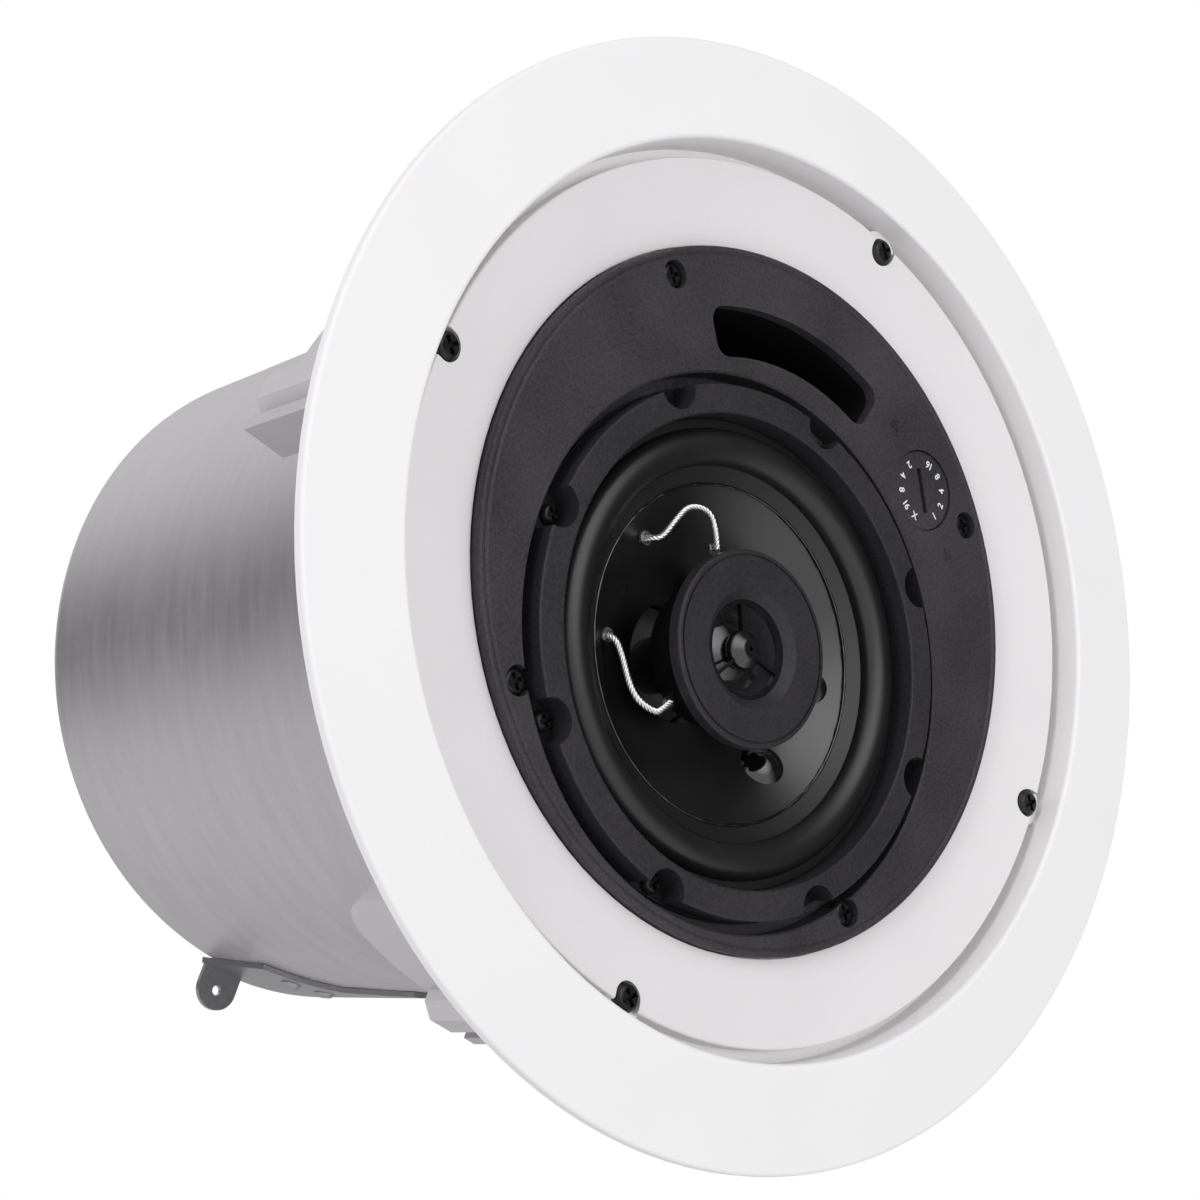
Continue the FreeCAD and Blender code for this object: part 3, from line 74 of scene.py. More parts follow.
def around(centre, radius, angle, z):
    # a point given in mm and degrees about a centre, as metres
    a = math.radians(angle)
    return Vector((centre[0] + radius * math.cos(a), centre[1] + radius * math.sin(a), z)) * mm


# shading helpers
class Sock:
    # a shader socket that can be used in plain sums and products
    def __init__(self, paint, socket):
        self.paint = paint
        self.socket = socket

    def __add__(self, other):
        return self.paint.math("ADD", self, other)

    def __radd__(self, other):
        return self.paint.math("ADD", other, self)

    def __sub__(self, other):
        return self.paint.math("SUBTRACT", self, other)

    def __rsub__(self, other):
        return self.paint.math("SUBTRACT", other, self)

    def __mul__(self, other):
        return self.paint.math("MULTIPLY", self, other)

    def __rmul__(self, other):
        return self.paint.math("MULTIPLY", other, self)

    def __truediv__(self, other):
        return self.paint.math("DIVIDE", self, other)

    def __pow__(self, other):
        return self.paint.math("POWER", self, other)

    def between(self, low, high, outLow=0.0, outHigh=1.0):
        # straight map of low..high onto outLow..outHigh, held at the ends
        return self.paint.node("ShaderNodeMapRange", {"clamp": True}, **{
            "Value": self, "From Min": low, "From Max": high, "To Min": outLow, "To Max": outHigh})[0]


class Paint:
    # one material and its node tree
    def __init__(self, name):
        self.material = bpy.data.materials.new(name)
        self.material.use_nodes = True
        self.tree = self.material.node_tree
        self.tree.nodes.clear()
        self.output = self.tree.nodes.new("ShaderNodeOutputMaterial")

    def node(self, kind, settings, **inputs):
        made = self.tree.nodes.new(kind)
        for key, value in settings.items():
            setattr(made, key, value)
        for key, value in inputs.items():
            self.feed(made.inputs[key], value)
        return [Sock(self, out) for out in made.outputs if out.enabled]

    def feed(self, target, value):
        if isinstance(value, Sock):
            self.tree.links.new(value.socket, target)
        else:
            target.default_value = value

    def math(self, operation, a, b=0.0):
        made = self.tree.nodes.new("ShaderNodeMath")
        made.operation = operation
        self.feed(made.inputs[0], a)
        self.feed(made.inputs[1], b)
        return Sock(self, made.outputs[0])

    def mix(self, factor, a, b):
        made = self.tree.nodes.new("ShaderNodeMix")
        made.data_type = "RGBA"
        self.feed(made.inputs["Factor"], factor)
        self.feed(made.inputs[6], a)
        self.feed(made.inputs[7], b)
        return Sock(self, made.outputs[2])

    def place(self, scale=(1.0, 1.0, 1.0)):
        spot = self.node("ShaderNodeTexCoord", {})[3]
        return self.node("ShaderNodeMapping", {}, Vector=spot, Scale=scale)[0]

    def noise(self, vector, scale, detail=3.0, roughness=0.5):
        return self.node("ShaderNodeTexNoise", {}, Vector=vector, Scale=scale, Detail=detail,
                         Roughness=roughness)[0]

    def bump(self, height, strength, distance, normal=None):
        given = {"Height": height, "Strength": strength, "Distance": distance}
        if normal is not None:
            given["Normal"] = normal
        return self.node("ShaderNodeBump", {}, **given)[0]

    def surface(self, **inputs):
        body = self.node("ShaderNodeBsdfPrincipled", {}, **inputs)[0]
        self.tree.links.new(body.socket, self.output.inputs["Surface"])
        return self.material


# broad cloudiness in colour and gloss, in noise waves per metre, and the depth of the fine bumps in metres
cloudScale = {"moulded": 45.0, "metal": 30.0, "flange": 40.0}
bumpDepth = {"moulded": 0.0002, "metal": 0.0001}


def tone(color, factor=1.0):
    return (color[0] * factor, color[1] * factor, color[2] * factor, 1.0)


def moulded(name, color, rough=0.5, grain=2600.0, depth=0.05, spread=0.06, gloss=0.5):
    # moulded plastic: fine grain, faint cloudiness in colour and gloss
    paint = Paint(name)
    spot = paint.place()
    fine = paint.noise(spot, grain, 2.0, 0.6)
    cloud = paint.noise(spot, cloudScale["moulded"], 3.0)
    shade = (fine * 0.6 + cloud * 0.4).between(0.3, 0.7)
    base = paint.mix(shade, tone(color, 1.0 - spread), tone(color, 1.0 + spread))
    return paint.surface(**{
        "Base Color": base, "Roughness": cloud.between(0.3, 0.7, rough - 0.04, rough + 0.05),
        "Specular IOR Level": gloss, "Normal": paint.bump(fine, depth, bumpDepth["moulded"])})


def metal(name, color, rough=0.35, streak=(1.0, 1.0, 1.0), spread=0.08, scale=900.0, depth=0.03):
    # bare or plated metal with streaks along the axis that has the small scale
    paint = Paint(name)
    spot = paint.place(streak)
    lines = paint.noise(spot, scale, 3.0, 0.6)
    cloud = paint.noise(paint.place(), cloudScale["metal"], 3.0)
    shade = (lines * 0.5 + cloud * 0.5).between(0.3, 0.7)
    base = paint.mix(shade, tone(color, 1.0 - spread), tone(color, 1.0 + spread))
    return paint.surface(**{
        "Base Color": base, "Metallic": 1.0,
        "Roughness": (lines + cloud).between(0.7, 1.3, rough - 0.05, rough + 0.08),
        "Normal": paint.bump(lines, depth, bumpDepth["metal"])})


def canSteel():
    # satin galvanised sheet: fine grain, soft marks that run round the can, broad clouds
    look = {"color": (0.49, 0.473, 0.49), "rough": 0.40, "spread": 0.10, "grain": 1900.0, "marks": 240.0,
            "stretch": 0.012, "clouds": 22.0, "depth": 0.12}
    paint = Paint("can_steel")
    spot = paint.node("ShaderNodeTexCoord", {})[3]
    x, y, z = paint.node("ShaderNodeSeparateXYZ", {}, Vector=spot)
    angle = paint.math("ARCTAN2", y, x)
    ringSpot = paint.node("ShaderNodeCombineXYZ", {}, X=angle * look["stretch"], Y=z, Z=0.0)[0]
    marks = paint.noise(ringSpot, look["marks"], 5.0, 0.62)
    grain = paint.noise(spot, look["grain"], 3.0, 0.7)
    clouds = paint.noise(spot, look["clouds"], 4.0, 0.55)
    shade = (marks * 0.45 + grain * 0.3 + clouds * 0.25).between(0.36, 0.64)
    color, spread, rough = look["color"], look["spread"], look["rough"]
    base = paint.mix(shade, tone(color, 1.0 - spread), tone(color, 1.0 + spread))
    height = grain * 0.6 + marks * 0.4
    normal = turnedNormal(paint, x, y)
    return paint.surface(**{
        "Base Color": base, "Metallic": 1.0,
        "Roughness": (marks * 0.5 + clouds * 0.5).between(0.3, 0.7, rough - 0.05, rough + 0.08),
        "Normal": paint.bump(height, look["depth"], bumpDepth["metal"], normal)})


def turnedNormal(paint, x, y):
    # where the surface is turned about z, its normal comes from the place on it, so no seam shows
    normal = paint.node("ShaderNodeNewGeometry", {})[1]
    nx, ny, nz = paint.node("ShaderNodeSeparateXYZ", {}, Vector=normal)
    radius = (x * x + y * y) ** 0.5
    flat = (1.0 - nz * nz) ** 0.5
    side = paint.math("SIGN", x * nx + y * ny) * flat
    turned = paint.node("ShaderNodeCombineXYZ", {}, X=x / radius * side, Y=y / radius * side, Z=nz)[0]
    same = (x * nx + y * ny) / radius * side + nz * nz
    return paint.mix(same.between(0.985, 0.995), normal, turned)


def flangeWhite():
    # satin white moulding; inside the baffle edge it is a darker white, as painted shade for the dished
    # baffle, and behind 8.6 mm, stop ribs included, it is a grey near the clamps' grey, as painted shade for
    # the moulding's shadowed rear
    look = {"front": (0.85, 0.837, 0.842), "baffle": (0.735, 0.718, 0.725), "baffleEdge": 91.0 * mm,
            "rearShade": (0.45, 0.43, 0.45), "rearShadeLevel": 8.6 * mm, "grain": 2200.0, "rough": 0.55, "depth": 0.10}
    paint = Paint("flange_white")
    spot = paint.node("ShaderNodeTexCoord", {})[3]
    x, y, z = paint.node("ShaderNodeSeparateXYZ", {}, Vector=spot)
    # painted shade: the dished baffle ring inside 91 mm gets a darker white than the flange front
    baffleShadeMask = ((x * x + y * y) ** 0.5).between(look["baffleEdge"], look["baffleEdge"] + 0.3 * mm, 1.0, 0.0)
    # painted shade: everything of the moulding behind 8.6 mm, its stop ribs too, turns grey
    rearShadeMask = z.between(look["rearShadeLevel"], look["rearShadeLevel"] + 0.1 * mm)
    fine = paint.noise(spot, look["grain"], 2.0, 0.6)
    cloud = paint.noise(spot, cloudScale["flange"], 3.0)
    shade = (fine * 0.6 + cloud * 0.4).between(0.3, 0.7)
    front = paint.mix(shade, tone(look["front"], 0.985), tone(look["front"], 1.015))
    baffle = paint.mix(shade, tone(look["baffle"], 0.975), tone(look["baffle"], 1.025))
    base = paint.mix(rearShadeMask, paint.mix(baffleShadeMask, front, baffle), tone(look["rearShade"]))
    return paint.surface(**{
        "Base Color": base, "Roughness": cloud.between(0.3, 0.7, look["rough"] - 0.04, look["rough"] + 0.05),
        "Specular IOR Level": 0.35, "Normal": paint.bump(fine, look["depth"], bumpDepth["moulded"])})


# black mouldings carry a fine spark-eroded grain, the rubber and the cone are smooth
looks = {
    "flange_white": flangeWhite(),
    "bezel_black": moulded("bezel_black", (0.040, 0.037, 0.041), 0.42, 1500.0, 0.45, 0.45, 0.22),
    "ring_charcoal": moulded("ring_charcoal", (0.028, 0.026, 0.030), 0.45, 1500.0, 0.40, 0.40, 0.2),
    "screw_black": moulded("screw_black", (0.010, 0.010, 0.011), 0.30, 900.0, 0.03, 0.2, 0.35),
    "screw_zinc": metal("screw_zinc", (0.55, 0.55, 0.56), 0.3),
    "can_steel": canSteel(),
    "bracket_steel": metal("bracket_steel", (0.30, 0.295, 0.31), 0.34, (1.0, 1.0, 0.1), 0.16),
    "clamp_grey": moulded("clamp_grey", (0.50, 0.475, 0.495), 0.5, 1800.0, 0.05, 0.03),
    "brass": metal("brass", (0.72, 0.55, 0.28), 0.3),
    "gasket_foam": moulded("gasket_foam", (0.03, 0.03, 0.03), 0.9, 1500.0, 0.3, 0.3, 0.2),
    "cover_steel": metal("cover_steel", (0.48, 0.47, 0.48), 0.4, (0.05, 1.0, 1.0)),
    "block_green": moulded("block_green", (0.03, 0.20, 0.10), 0.45),
    "gland_black": moulded("gland_black", (0.020, 0.020, 0.021), 0.45, 1500.0, 0.05, 0.2, 0.3),
    "dial_black": moulded("dial_black", (0.040, 0.037, 0.041), 0.42, 1500.0, 0.40, 0.40, 0.22),
    "switch_black": moulded("switch_black", (0.025, 0.025, 0.027), 0.3),
    "core_steel": metal("core_steel", (0.25, 0.26, 0.28), 0.45, (0.05, 0.05, 1.0), 0.2, 1400.0, 0.2),
    "winding_tape": moulded("winding_tape", (0.62, 0.50, 0.10), 0.4),
    "board_green": moulded("board_green", (0.02, 0.16, 0.07), 0.3),
    "copper": metal("copper", (0.72, 0.34, 0.18), 0.3, (1.0, 1.0, 4.0)),
    "post_nylon": moulded("post_nylon", (0.70, 0.70, 0.67), 0.45),
    "capacitor_blue": moulded("capacitor_blue", (0.03, 0.06, 0.22), 0.3),
    "felt_grey": moulded("felt_grey", (0.16, 0.16, 0.17), 0.95, 700.0, 0.6, 0.3, 0.1),
    "duct_black": moulded("duct_black", (0.006, 0.006, 0.006), 0.7, 2000.0, 0.1, 0.2, 0.1),
    "basket_black": moulded("basket_black", (0.010, 0.010, 0.011), 0.4, 1200.0, 0.05, 0.2, 0.2),
    "surround_rubber": moulded("surround_rubber", (0.009, 0.009, 0.010), 0.34, 1400.0, 0.05, 0.2, 0.55),
    "cone_black": moulded("cone_black", (0.006, 0.006, 0.007), 0.30, 500.0, 0.02, 0.2, 0.85),
    "former_film": moulded("former_film", (0.014, 0.012, 0.011), 0.4),
    "spider_cloth": moulded("spider_cloth", (0.45, 0.33, 0.12), 0.9, 1800.0, 0.5, 0.2, 0.1),
    "plate_steel": metal("plate_steel", (0.50, 0.51, 0.53), 0.35),
    "ferrite": moulded("ferrite", (0.045, 0.045, 0.05), 0.6, 600.0, 0.15, 0.3),
    "face_black": moulded("face_black", (0.027, 0.025, 0.029), 0.42, 1500.0, 0.35, 0.35, 0.22),
    "shield_black": moulded("shield_black", (0.007, 0.007, 0.008), 0.14, 900.0, 0.01, 0.2, 0.9),
    "dome_film": moulded("dome_film", (0.010, 0.010, 0.011), 0.10, 500.0, 0.01, 0.2, 1.0),
    "cup_black": moulded("cup_black", (0.006, 0.006, 0.006), 0.5, 900.0, 0.05, 0.2, 0.15),
    "braid_tinned": metal("braid_tinned", (0.86, 0.85, 0.83), 0.28),
    # painted shade: the tin is kept dark so that the cone eyelets read as dark recesses
    "solder_tin": metal("solder_tin", (0.36, 0.36, 0.37), 0.25, spread=0.4),
    "glue_black": moulded("glue_black", (0.004, 0.004, 0.004), 0.08, 300.0, 0.02, 0.2, 1.0),
    "strip_fibre": moulded("strip_fibre", (0.10, 0.05, 0.025), 0.7, gloss=0.2),
    "print_white": moulded("print_white", (0.80, 0.80, 0.80), 0.5, 2400.0, 0.05, 0.03),
}
for part in frame["record"]["subparts"]:
    mesh = nodes[part["node"]].data
    mesh.materials.clear()
    mesh.materials.append(looks[part["material_slot"]])
print("finishes done:", len(looks))


# pieces that the solids can't show well: soft rings cut into sectors, twisted leads and the dial's numbers
def piece(name, verts, faces, slot, sharp=32.0):
    mesh = bpy.data.meshes.new(name)
    mesh.from_pydata([tuple(v) for v in verts], [], faces)
    mesh.shade_smooth()
    mesh.set_sharp_from_angle(angle=math.radians(sharp))
    mesh.materials.append(looks[slot])
    made = bpy.data.objects.new(name, mesh)
    scene.collection.objects.link(made)
    return made


def arcPoints(centre, radius, start, stop, steps):
    # points of an arc in the (radius, z) plane, in mm and degrees
    return [(centre[0] + radius * math.cos(math.radians(start + (stop - start) * k / steps)),
             centre[1] + radius * math.sin(math.radians(start + (stop - start) * k / steps)))
            for k in range(steps + 1)]


def softRing(name, section, count, steps, bend, slot, node):
    # a turned soft ring cut into sectors, in place of the solid ring, which is hidden
    turn = 360.0 / count
    for k in range(count):
        verts = []
        faces = []
        for j in range(steps + 1):
            verts += [around(driver, r, turn * (k + j / steps), z) for r, z in section]
        size = len(section)
        for j in range(steps):
            for i in range(size):
                n = (i + 1) % size
                faces.append((j * size + i, j * size + n, (j + 1) * size + n, (j + 1) * size + i))
        made = piece("%s_%02d" % (name, k + 1), verts, faces, slot)
        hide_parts(node)
        middle = turn * (k + 0.5)
        around(driver, bend[1], middle, 0.0)
        around(driver, bend[0], middle, 0.0)
        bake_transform(made)


def surround():
    # half roll of rubber between an outer land on the basket and an inner land glued on the cone
    look = {"roll": (42.3, 6.8), "radius": 3.9, "wall": 0.8, "front": 7.2, "outer": 48.0, "land": 46.2,
            "inner": (34.9, 8.2), "edge": (38.4, 7.4), "bend": (38.6, 46.0), "sectors": 36, "steps": 5,
            "arcSteps": 22}
    roll = look["roll"]
    section = [(look["outer"], look["front"]), (look["outer"], look["front"] - look["wall"]),
               (look["land"], look["front"] - look["wall"])]
    section += arcPoints(roll, look["radius"], 0.0, -180.0, look["arcSteps"])
    section += [look["inner"], (look["inner"][0], look["inner"][1] + 0.6), look["edge"]]
    section += arcPoints(roll, look["radius"] - look["wall"], 180.0, 360.0, look["arcSteps"])
    softRing("surround_part", section, look["sectors"], look["steps"], look["bend"], "surround_rubber",
             "surround")


def spider():
    # corrugated cloth disc between the basket's shelf and the coil former
    look = {"inner": 13.3, "outer": 35.0, "waveEnd": 30.9, "level": 23.7, "wall": 0.5, "wave": 0.85,
            "waves": 4, "land": 1.6, "bend": (15.0, 30.0), "points": 48, "sectors": 12, "steps": 6}
    front = []
    for k in range(look["points"] + 1):
        radius = look["inner"] + (look["outer"] - look["inner"]) * k / look["points"]
        share = (radius - look["inner"] - look["land"]) / (look["waveEnd"] - look["inner"] - 2 * look["land"])
        share = min(max(share, 0.0), 1.0)
        lift = look["wave"] * math.sin(share * math.pi * (2 * look["waves"]))
        front.append((radius, look["level"] - lift))
    section = front + [(r, z + look["wall"]) for r, z in reversed(front)]
    softRing("spider_part", section, look["sectors"], look["steps"], look["bend"], "spider_cloth", "spider")


def smoothPath(points, spacing):
    # evenly spaced points on a smooth curve along the route
    curve = bpy.data.curves.new("route", "CURVE")
    curve.dimensions = "3D"
    spline = curve.splines.new("NURBS")
    spline.points.add(len(points) - 1)
    for k, spot in enumerate(points):
        spline.points[k].co = (spot[0], spot[1], spot[2], 1.0)
    spline.order_u = 3
    spline.use_endpoint_u = True
    spline.resolution_u = 24
    holder = bpy.data.objects.new("route", curve)
    line = bpy.data.meshes.new_from_object(holder)
    raw = np.array([v.co[:] for v in line.vertices])
    bpy.data.objects.remove(holder)
    bpy.data.curves.remove(curve)
    bpy.data.meshes.remove(line)
    lengths = np.concatenate([[0.0], np.cumsum(np.linalg.norm(np.diff(raw, axis=0), axis=1))])
    wanted = np.linspace(0.0, lengths[-1], int(lengths[-1] / spacing) + 2)
    return np.stack([np.interp(wanted, lengths, raw[:, axis]) for axis in range(3)], axis=1), lengths[-1]


def braid(name, points):
    # four tinned strands twisted round each other along the route
    look = {"strands": 4, "strand": 0.36 * mm, "offset": 0.34 * mm, "pitch": 3.4 * mm, "spacing": 0.22 * mm,
            "sides": 7}
    path, length = smoothPath(points, look["spacing"])
    tangents = np.gradient(path, axis=0)
    tangents /= np.linalg.norm(tangents, axis=1)[:, None]
    normal = np.cross(tangents[0], (0.3, 0.5, 0.81))
    normal /= np.linalg.norm(normal)
    count = len(path)
    verts = []
    faces = []
    frames = []
    for k in range(count):
        normal = normal - tangents[k] * np.dot(normal, tangents[k])
        normal /= np.linalg.norm(normal)
        frames.append((normal.copy(), np.cross(tangents[k], normal)))
    sides = look["sides"]
    for s in range(look["strands"]):
        first = len(verts)
        for k in range(count):
            along = length * k / (count - 1)
            phase = 2 * math.pi * (along / look["pitch"] + s / look["strands"])
            a, b = frames[k]
            out = a * math.cos(phase) + b * math.sin(phase)
            side = np.cross(tangents[k], out)
            for j in range(sides):
                turn = 2 * math.pi * j / sides
                rim = (out * math.cos(turn) + side * math.sin(turn)) * look["strand"]
                verts.append(path[k] + out * look["offset"] + rim)
        for k in range(count - 1):
            for j in range(sides):
                n = (j + 1) % sides
                low = first + k * sides
                faces.append((low + j, low + n, low + sides + n, low + sides + j))
        faces.append(tuple(first + j for j in reversed(range(sides))))
        faces.append(tuple(first + (count - 1) * sides + j for j in range(sides)))
    made = piece(name, verts, faces, "braid_tinned", 60.0)
    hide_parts("tinsel_leads")
    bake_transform(made)


def leads():
    # (radius, angle, z) about the driver, from each eyelet on the cone to its tag or blade
    tag = 5.5
    blade = 18.2
    routes = {
        "front_lead_1": ((28.6, 70.2, 12.44), (28.6, 70.2, 10.04), (27.4, 72.6, 8.6), (29.5, 80.0, 6.3),
                         (31.0, 87.4, 5.4), (29.0, 96.2, 5.0), (25.0, 98.6, 5.1), (21.0, 98.0, tag)),
        "front_lead_2": ((28.6, 22.6, 12.44), (28.6, 22.6, 10.04), (27.5, 16.3, 8.8), (28.6, -3.0, 6.8),
                         (26.0, -13.3, 5.4), (24.2, -14.0, 5.2), (21.0, -14.0, tag)),
        "rear_lead_1": ((28.6, 70.2, 12.54), (28.6, 70.2, 15.74), (30.6, 64.2, 17.1), (33.6, 54.6, blade),
                        (43.6, 52.6, blade)),
        "rear_lead_2": ((28.6, 22.6, 12.54), (28.6, 22.6, 15.74), (30.6, 28.6, 17.1), (33.6, 39.4, blade),
                        (43.6, 41.4, blade)),
    }
    for name, route in routes.items():
        braid(name, [around(driver, *spot) for spot in route])


def numbers():
    # plain numbers printed round the tap dial, tops towards its middle; angles from the photo's right
    look = {"circle": 6.55, "size": 2.3 * mm, "turn": 193.6, "level": 2.9, "thick": 0.03 * mm,
            "marks": {120: "2", 150: "4", 180: "8", 210: "16", 240: "X",
                      60: "16", 30: "8", 0: "4", -30: "2", -60: "1"}}
    for k, (angle, text) in enumerate(look["marks"].items()):
        curve = bpy.data.curves.new("dial_number_%d" % (k + 1), "FONT")
        curve.body = text
        curve.size = look["size"]
        curve.align_x = "CENTER"
        curve.align_y = "CENTER"
        curve.extrude = look["thick"]
        curve.offset = 0.035 * mm
        curve.space_character = 0.9
        made = bpy.data.objects.new("dial_number_%d" % (k + 1), curve)
        out = math.radians(look["turn"] - angle)
        up = Vector((-math.cos(out), -math.sin(out), 0.0))
        front = Vector((0.0, 0.0, -1.0))
        turn = Matrix((up.cross(front), up, front)).transposed().to_4x4()
        spot = around(dial, look["circle"], look["turn"] - angle, look["level"])
        made.matrix_world = Matrix.Translation(spot) @ turn
        scene.collection.objects.link(made)
        curve.materials.append(looks["print_white"])
        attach(made, "tap")


def glueBead():
    # uneven bead of glossy glue where the surround's inner land ends on the cone
    look = {"circle": 34.85, "level": 8.1, "radius": 0.30, "steps": 360, "sides": 8,
            "waves": ((23, 0.16), (41, 0.12), (67, 0.10))}
    verts = []
    faces = []
    steps, sides = look["steps"], look["sides"]
    for k in range(steps):
        turn = 2 * math.pi * k / steps
        thick = look["radius"] * (1.0 + sum(share * math.sin(count * turn) for count, share in look["waves"]))
        for j in range(sides):
            side = 2 * math.pi * j / sides
            verts.append(around(driver, look["circle"] + thick * math.cos(side), math.degrees(turn),
                                look["level"] + thick * math.sin(side)))
            far = (k + 1) % steps
            n = (j + 1) % sides
            faces.append((k * sides + j, far * sides + j, far * sides + n, k * sides + n))
    made = piece("glue_bead", verts, faces, "glue_black", 80.0)
    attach(made, "moving_cone")


def pointers():
    # two small raised marks on the bezel that point at the dial
    look = {"circle": 58.9, "angles": (154.3, 184.5), "length": 2.6, "width": 2.4, "front": 2.45, "back": 2.7}
    for k, angle in enumerate(look["angles"]):
        spot = around((0.0, 0.0), look["circle"], angle, 0.0) / mm
        ahead = Vector((dial[0] - spot.x, dial[1] - spot.y, 0.0)).normalized()
        across = Vector((ahead.y, -ahead.x, 0.0))
        corners = (ahead * look["length"] / 2, (across * look["width"] - ahead * look["length"]) / 2,
                   (-across * look["width"] - ahead * look["length"]) / 2)
        levels = (Vector((0.0, 0.0, look["front"])), Vector((0.0, 0.0, look["back"])))
        verts = [(spot + corner + level) * mm for level in levels for corner in corners]
        faces = [(0, 1, 2), (5, 4, 3), (0, 3, 4, 1), (1, 4, 5, 2), (2, 5, 3, 0)]
        made = piece("bezel_pointer_%d" % (k + 1), verts, faces, "ring_charcoal", 20.0)
        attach(made, "housing")


surround()
spider()
glueBead()
leads()
numbers()
pointers()
print("soft rings, leads, dial numbers and pointers done")


# camera, lamps, floor and world
def aim():
    look = {"place": (0.347747, 0.035246, -0.342040), "right": (-0.712795, -0.263024, -0.650186),
            "up": (-0.233016, 0.963171, -0.134184), "back": (0.661533, 0.055858, -0.747833), "lens": 72.19}
    camera = bpy.data.cameras.new("camera")
    camera.lens = look["lens"]
    camera.sensor_width = 36.0
    camera.clip_start = 0.01
    camera.clip_end = 20.0
    eye = bpy.data.objects.new("camera", camera)
    turn = Matrix((look["right"], look["up"], look["back"])).transposed().to_4x4()
    eye.matrix_world = Matrix.Translation(look["place"]) @ turn
    scene.collection.objects.link(eye)
    scene.camera = eye
    return eye


def lamp(name, place, target, size, power):
    light = bpy.data.lights.new(name, "AREA")
    light.shape = "DISK"
    light.size = size
    light.energy = power
    holder = bpy.data.objects.new(name, light)
    holder.location = place
    away = Vector(place) - Vector(target)
    holder.rotation_euler = away.to_track_quat("Z", "Y").to_euler()
    holder.visible_glossy = False
    scene.collection.objects.link(holder)
    return holder


def fromCamera(eye, right, up, back):
    # a point given in the camera's own directions, from the middle of the flange
    turn = eye.matrix_world.to_3x3()
    return turn @ Vector((right, up, back))


def tent():
    # light tent round the studio that only reflections show: white, a dark strip and a grey side for the can,
    # a dark left and a soft box in front for the black plate and the cone
    look = {"radius": 1.9, "strip": 0.12, "above": (38.0, 80.0), "below": (0.0, 36.0), "grey": 0.84,
            "far": 0.38, "farFrom": (-178.0, -30.0), "turnFrom": (120.0, 180.0), "left": 0.05,
            "leftFrom": (-0.60, -0.05),
            "box": (-0.02, 0.54, -0.84), "boxLevel": 1.4, "boxFrom": (0.80, 0.96), "split": (0.0, 0.4)}
    bpy.ops.mesh.primitive_uv_sphere_add(segments=48, ring_count=24, radius=look["radius"])
    made = bpy.context.object
    made.name = "tent"
    paint = Paint("tent")
    spot = paint.place((1.0 / look["radius"],) * 3)
    x, y, z = paint.node("ShaderNodeSeparateXYZ", {}, Vector=spot)
    angle = paint.math("ARCTAN2", y, x) * (180.0 / math.pi)
    strip = look["strip"]
    turned = angle.between(*look["turnFrom"], 1.0, (look["far"] - strip) / (1.0 - strip))
    above = angle.between(*look["above"]) * turned
    below = 1.0 - angle.between(*look["below"])
    far = 1.0 - angle.between(*look["farFrom"])
    upper = above * (1.0 - strip) + below * (look["grey"] - strip) + strip
    upper = upper - far * (look["grey"] - look["far"])
    box = paint.node("ShaderNodeVectorMath", {"operation": "DOT_PRODUCT"}, **{"Vector": spot})[0]
    paint.tree.nodes[-1].inputs[1].default_value = look["box"]
    lower = x.between(*look["leftFrom"], look["left"], 1.0) + box.between(*look["boxFrom"]) * look["boxLevel"]
    split = z.between(*look["split"])
    level = upper * split + lower * (1.0 - split)
    tint = paint.node("ShaderNodeCombineColor", {}, Red=level, Green=level, Blue=level)[0]
    glow = paint.node("ShaderNodeEmission", {}, Color=tint, Strength=1.0)[0]
    paint.tree.links.new(glow.socket, paint.output.inputs["Surface"])
    made.data.materials.append(paint.material)
    for kind in ("camera", "diffuse", "transmission", "shadow"):
        setattr(made, "visible_" + kind, False)


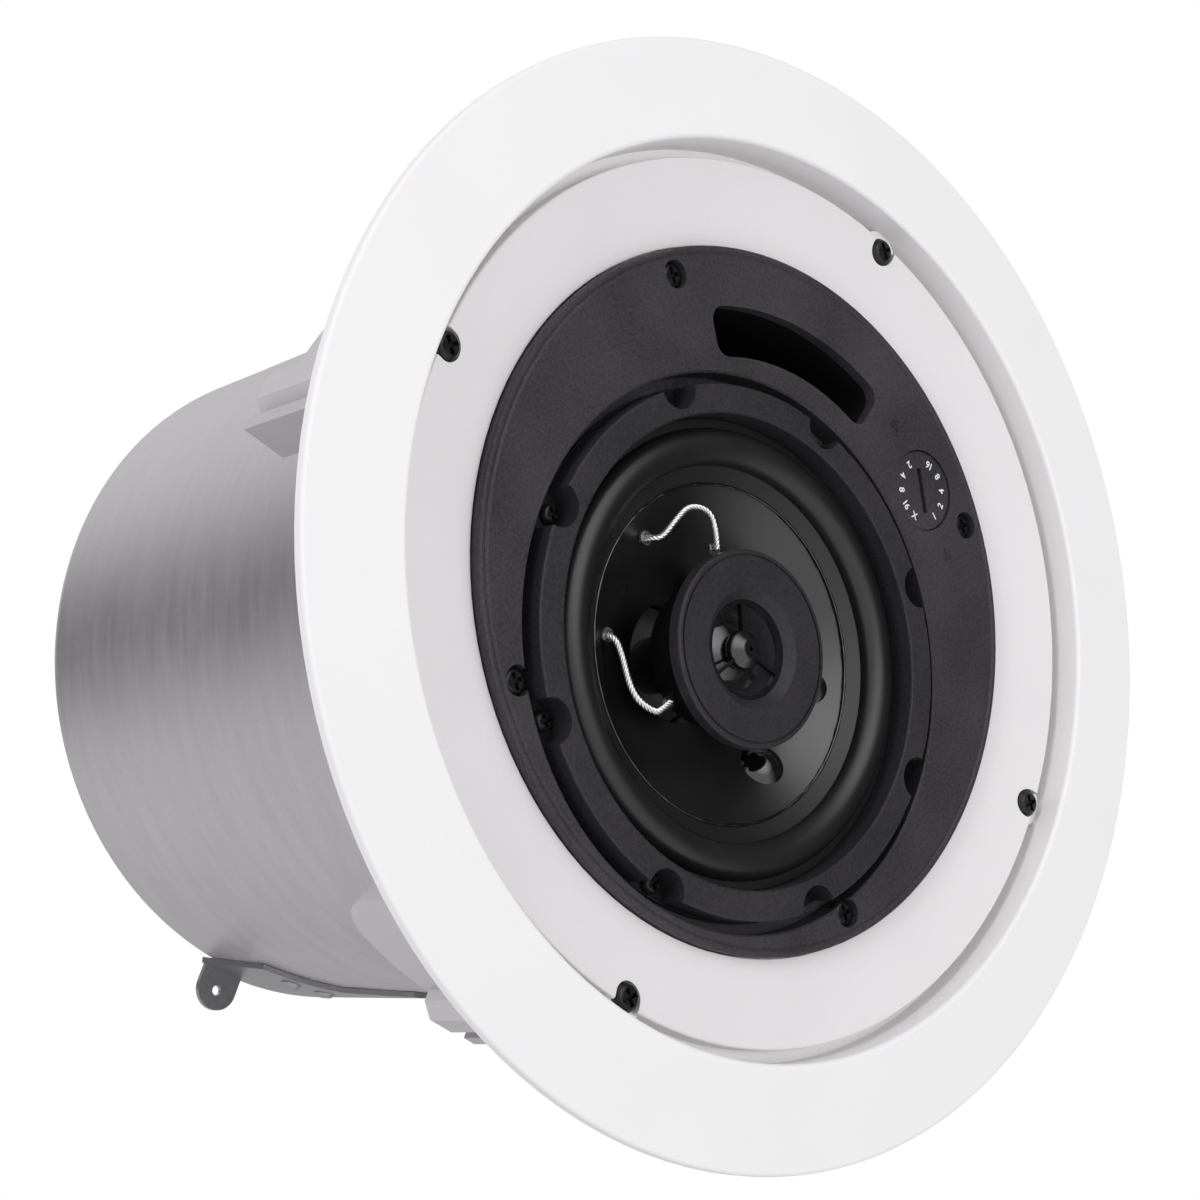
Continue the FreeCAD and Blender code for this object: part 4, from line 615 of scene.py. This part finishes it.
def studio(eye):
    look = {"ambient": (0.62, 0.62, 0.63, 1.0), "key": 7.5, "fill": 8.0, "top": 5.0, "side": 4.0}
    middle = (0.0, 0.0, 0.03)
    lamp("lamp_key", fromCamera(eye, -0.9, 0.75, 1.0), middle, 0.7, look["key"])
    lamp("lamp_fill", fromCamera(eye, 1.1, 0.1, 0.9), middle, 0.9, look["fill"])
    lamp("lamp_top", (0.3, -0.5, 1.3), middle, 1.2, look["top"])
    lamp("lamp_side", (-1.1, 0.5, 0.7), middle, 0.9, look["side"])
    tent()
    world = bpy.data.worlds.new("studio")
    world.use_nodes = True
    scene.world = world
    tree = world.node_tree
    tree.nodes.clear()
    rays = tree.nodes.new("ShaderNodeLightPath")
    seen = tree.nodes.new("ShaderNodeMath")
    seen.operation = "MAXIMUM"
    tree.links.new(rays.outputs["Is Camera Ray"], seen.inputs[0])
    tree.links.new(rays.outputs["Is Glossy Ray"], seen.inputs[1])
    through = tree.nodes.new("ShaderNodeMath")
    through.operation = "MAXIMUM"
    tree.links.new(seen.outputs[0], through.inputs[0])
    tree.links.new(rays.outputs["Is Transmission Ray"], through.inputs[1])
    level = tree.nodes.new("ShaderNodeMix")
    level.data_type = "RGBA"
    level.inputs[6].default_value = look["ambient"]
    level.inputs[7].default_value = (1.0, 1.0, 1.0, 1.0)
    tree.links.new(through.outputs[0], level.inputs["Factor"])
    back = tree.nodes.new("ShaderNodeBackground")
    tree.links.new(level.outputs[2], back.inputs["Color"])
    out = tree.nodes.new("ShaderNodeOutputWorld")
    tree.links.new(back.outputs[0], out.inputs["Surface"])


def floor():
    # pale floor under the flange; only camera rays from above see it, so it never hides the front from below
    look = {"size": 6.0, "fade": (0.25, 1.1), "color": (0.90, 0.90, 0.905, 1.0),
            "level": solidBounds[0][2] - 0.0002}
    bpy.ops.mesh.primitive_plane_add(size=look["size"], location=(0, 0, look["level"]))
    plane = bpy.context.object
    plane.name = "floor"
    paint = Paint("floor")
    rays = paint.tree.nodes.new("ShaderNodeLightPath")
    side = paint.tree.nodes.new("ShaderNodeNewGeometry")
    away = paint.node("ShaderNodeVectorMath", {"operation": "LENGTH"}, Vector=paint.place())[0]
    seen = Sock(paint, rays.outputs["Is Camera Ray"]) * (1.0 - Sock(paint, side.outputs["Backfacing"]))
    shown = seen * away.between(look["fade"][0], look["fade"][1], 1.0, 0.0)
    grain = paint.noise(paint.place(), 3.0, 2.0)
    base = paint.mix(grain, look["color"], tone(look["color"], 1.02))
    pale = paint.node("ShaderNodeBsdfDiffuse", {}, Color=base)[0]
    clear = paint.node("ShaderNodeBsdfTransparent", {})[0]
    blend = paint.tree.nodes.new("ShaderNodeMixShader")
    paint.feed(blend.inputs[0], shown)
    paint.feed(blend.inputs[1], clear)
    paint.feed(blend.inputs[2], pale)
    paint.tree.links.new(blend.outputs[0], paint.output.inputs["Surface"])
    plane.data.materials.append(paint.material)


eye = aim()
studio(eye)
floor()
print("camera, lamps and floor done")
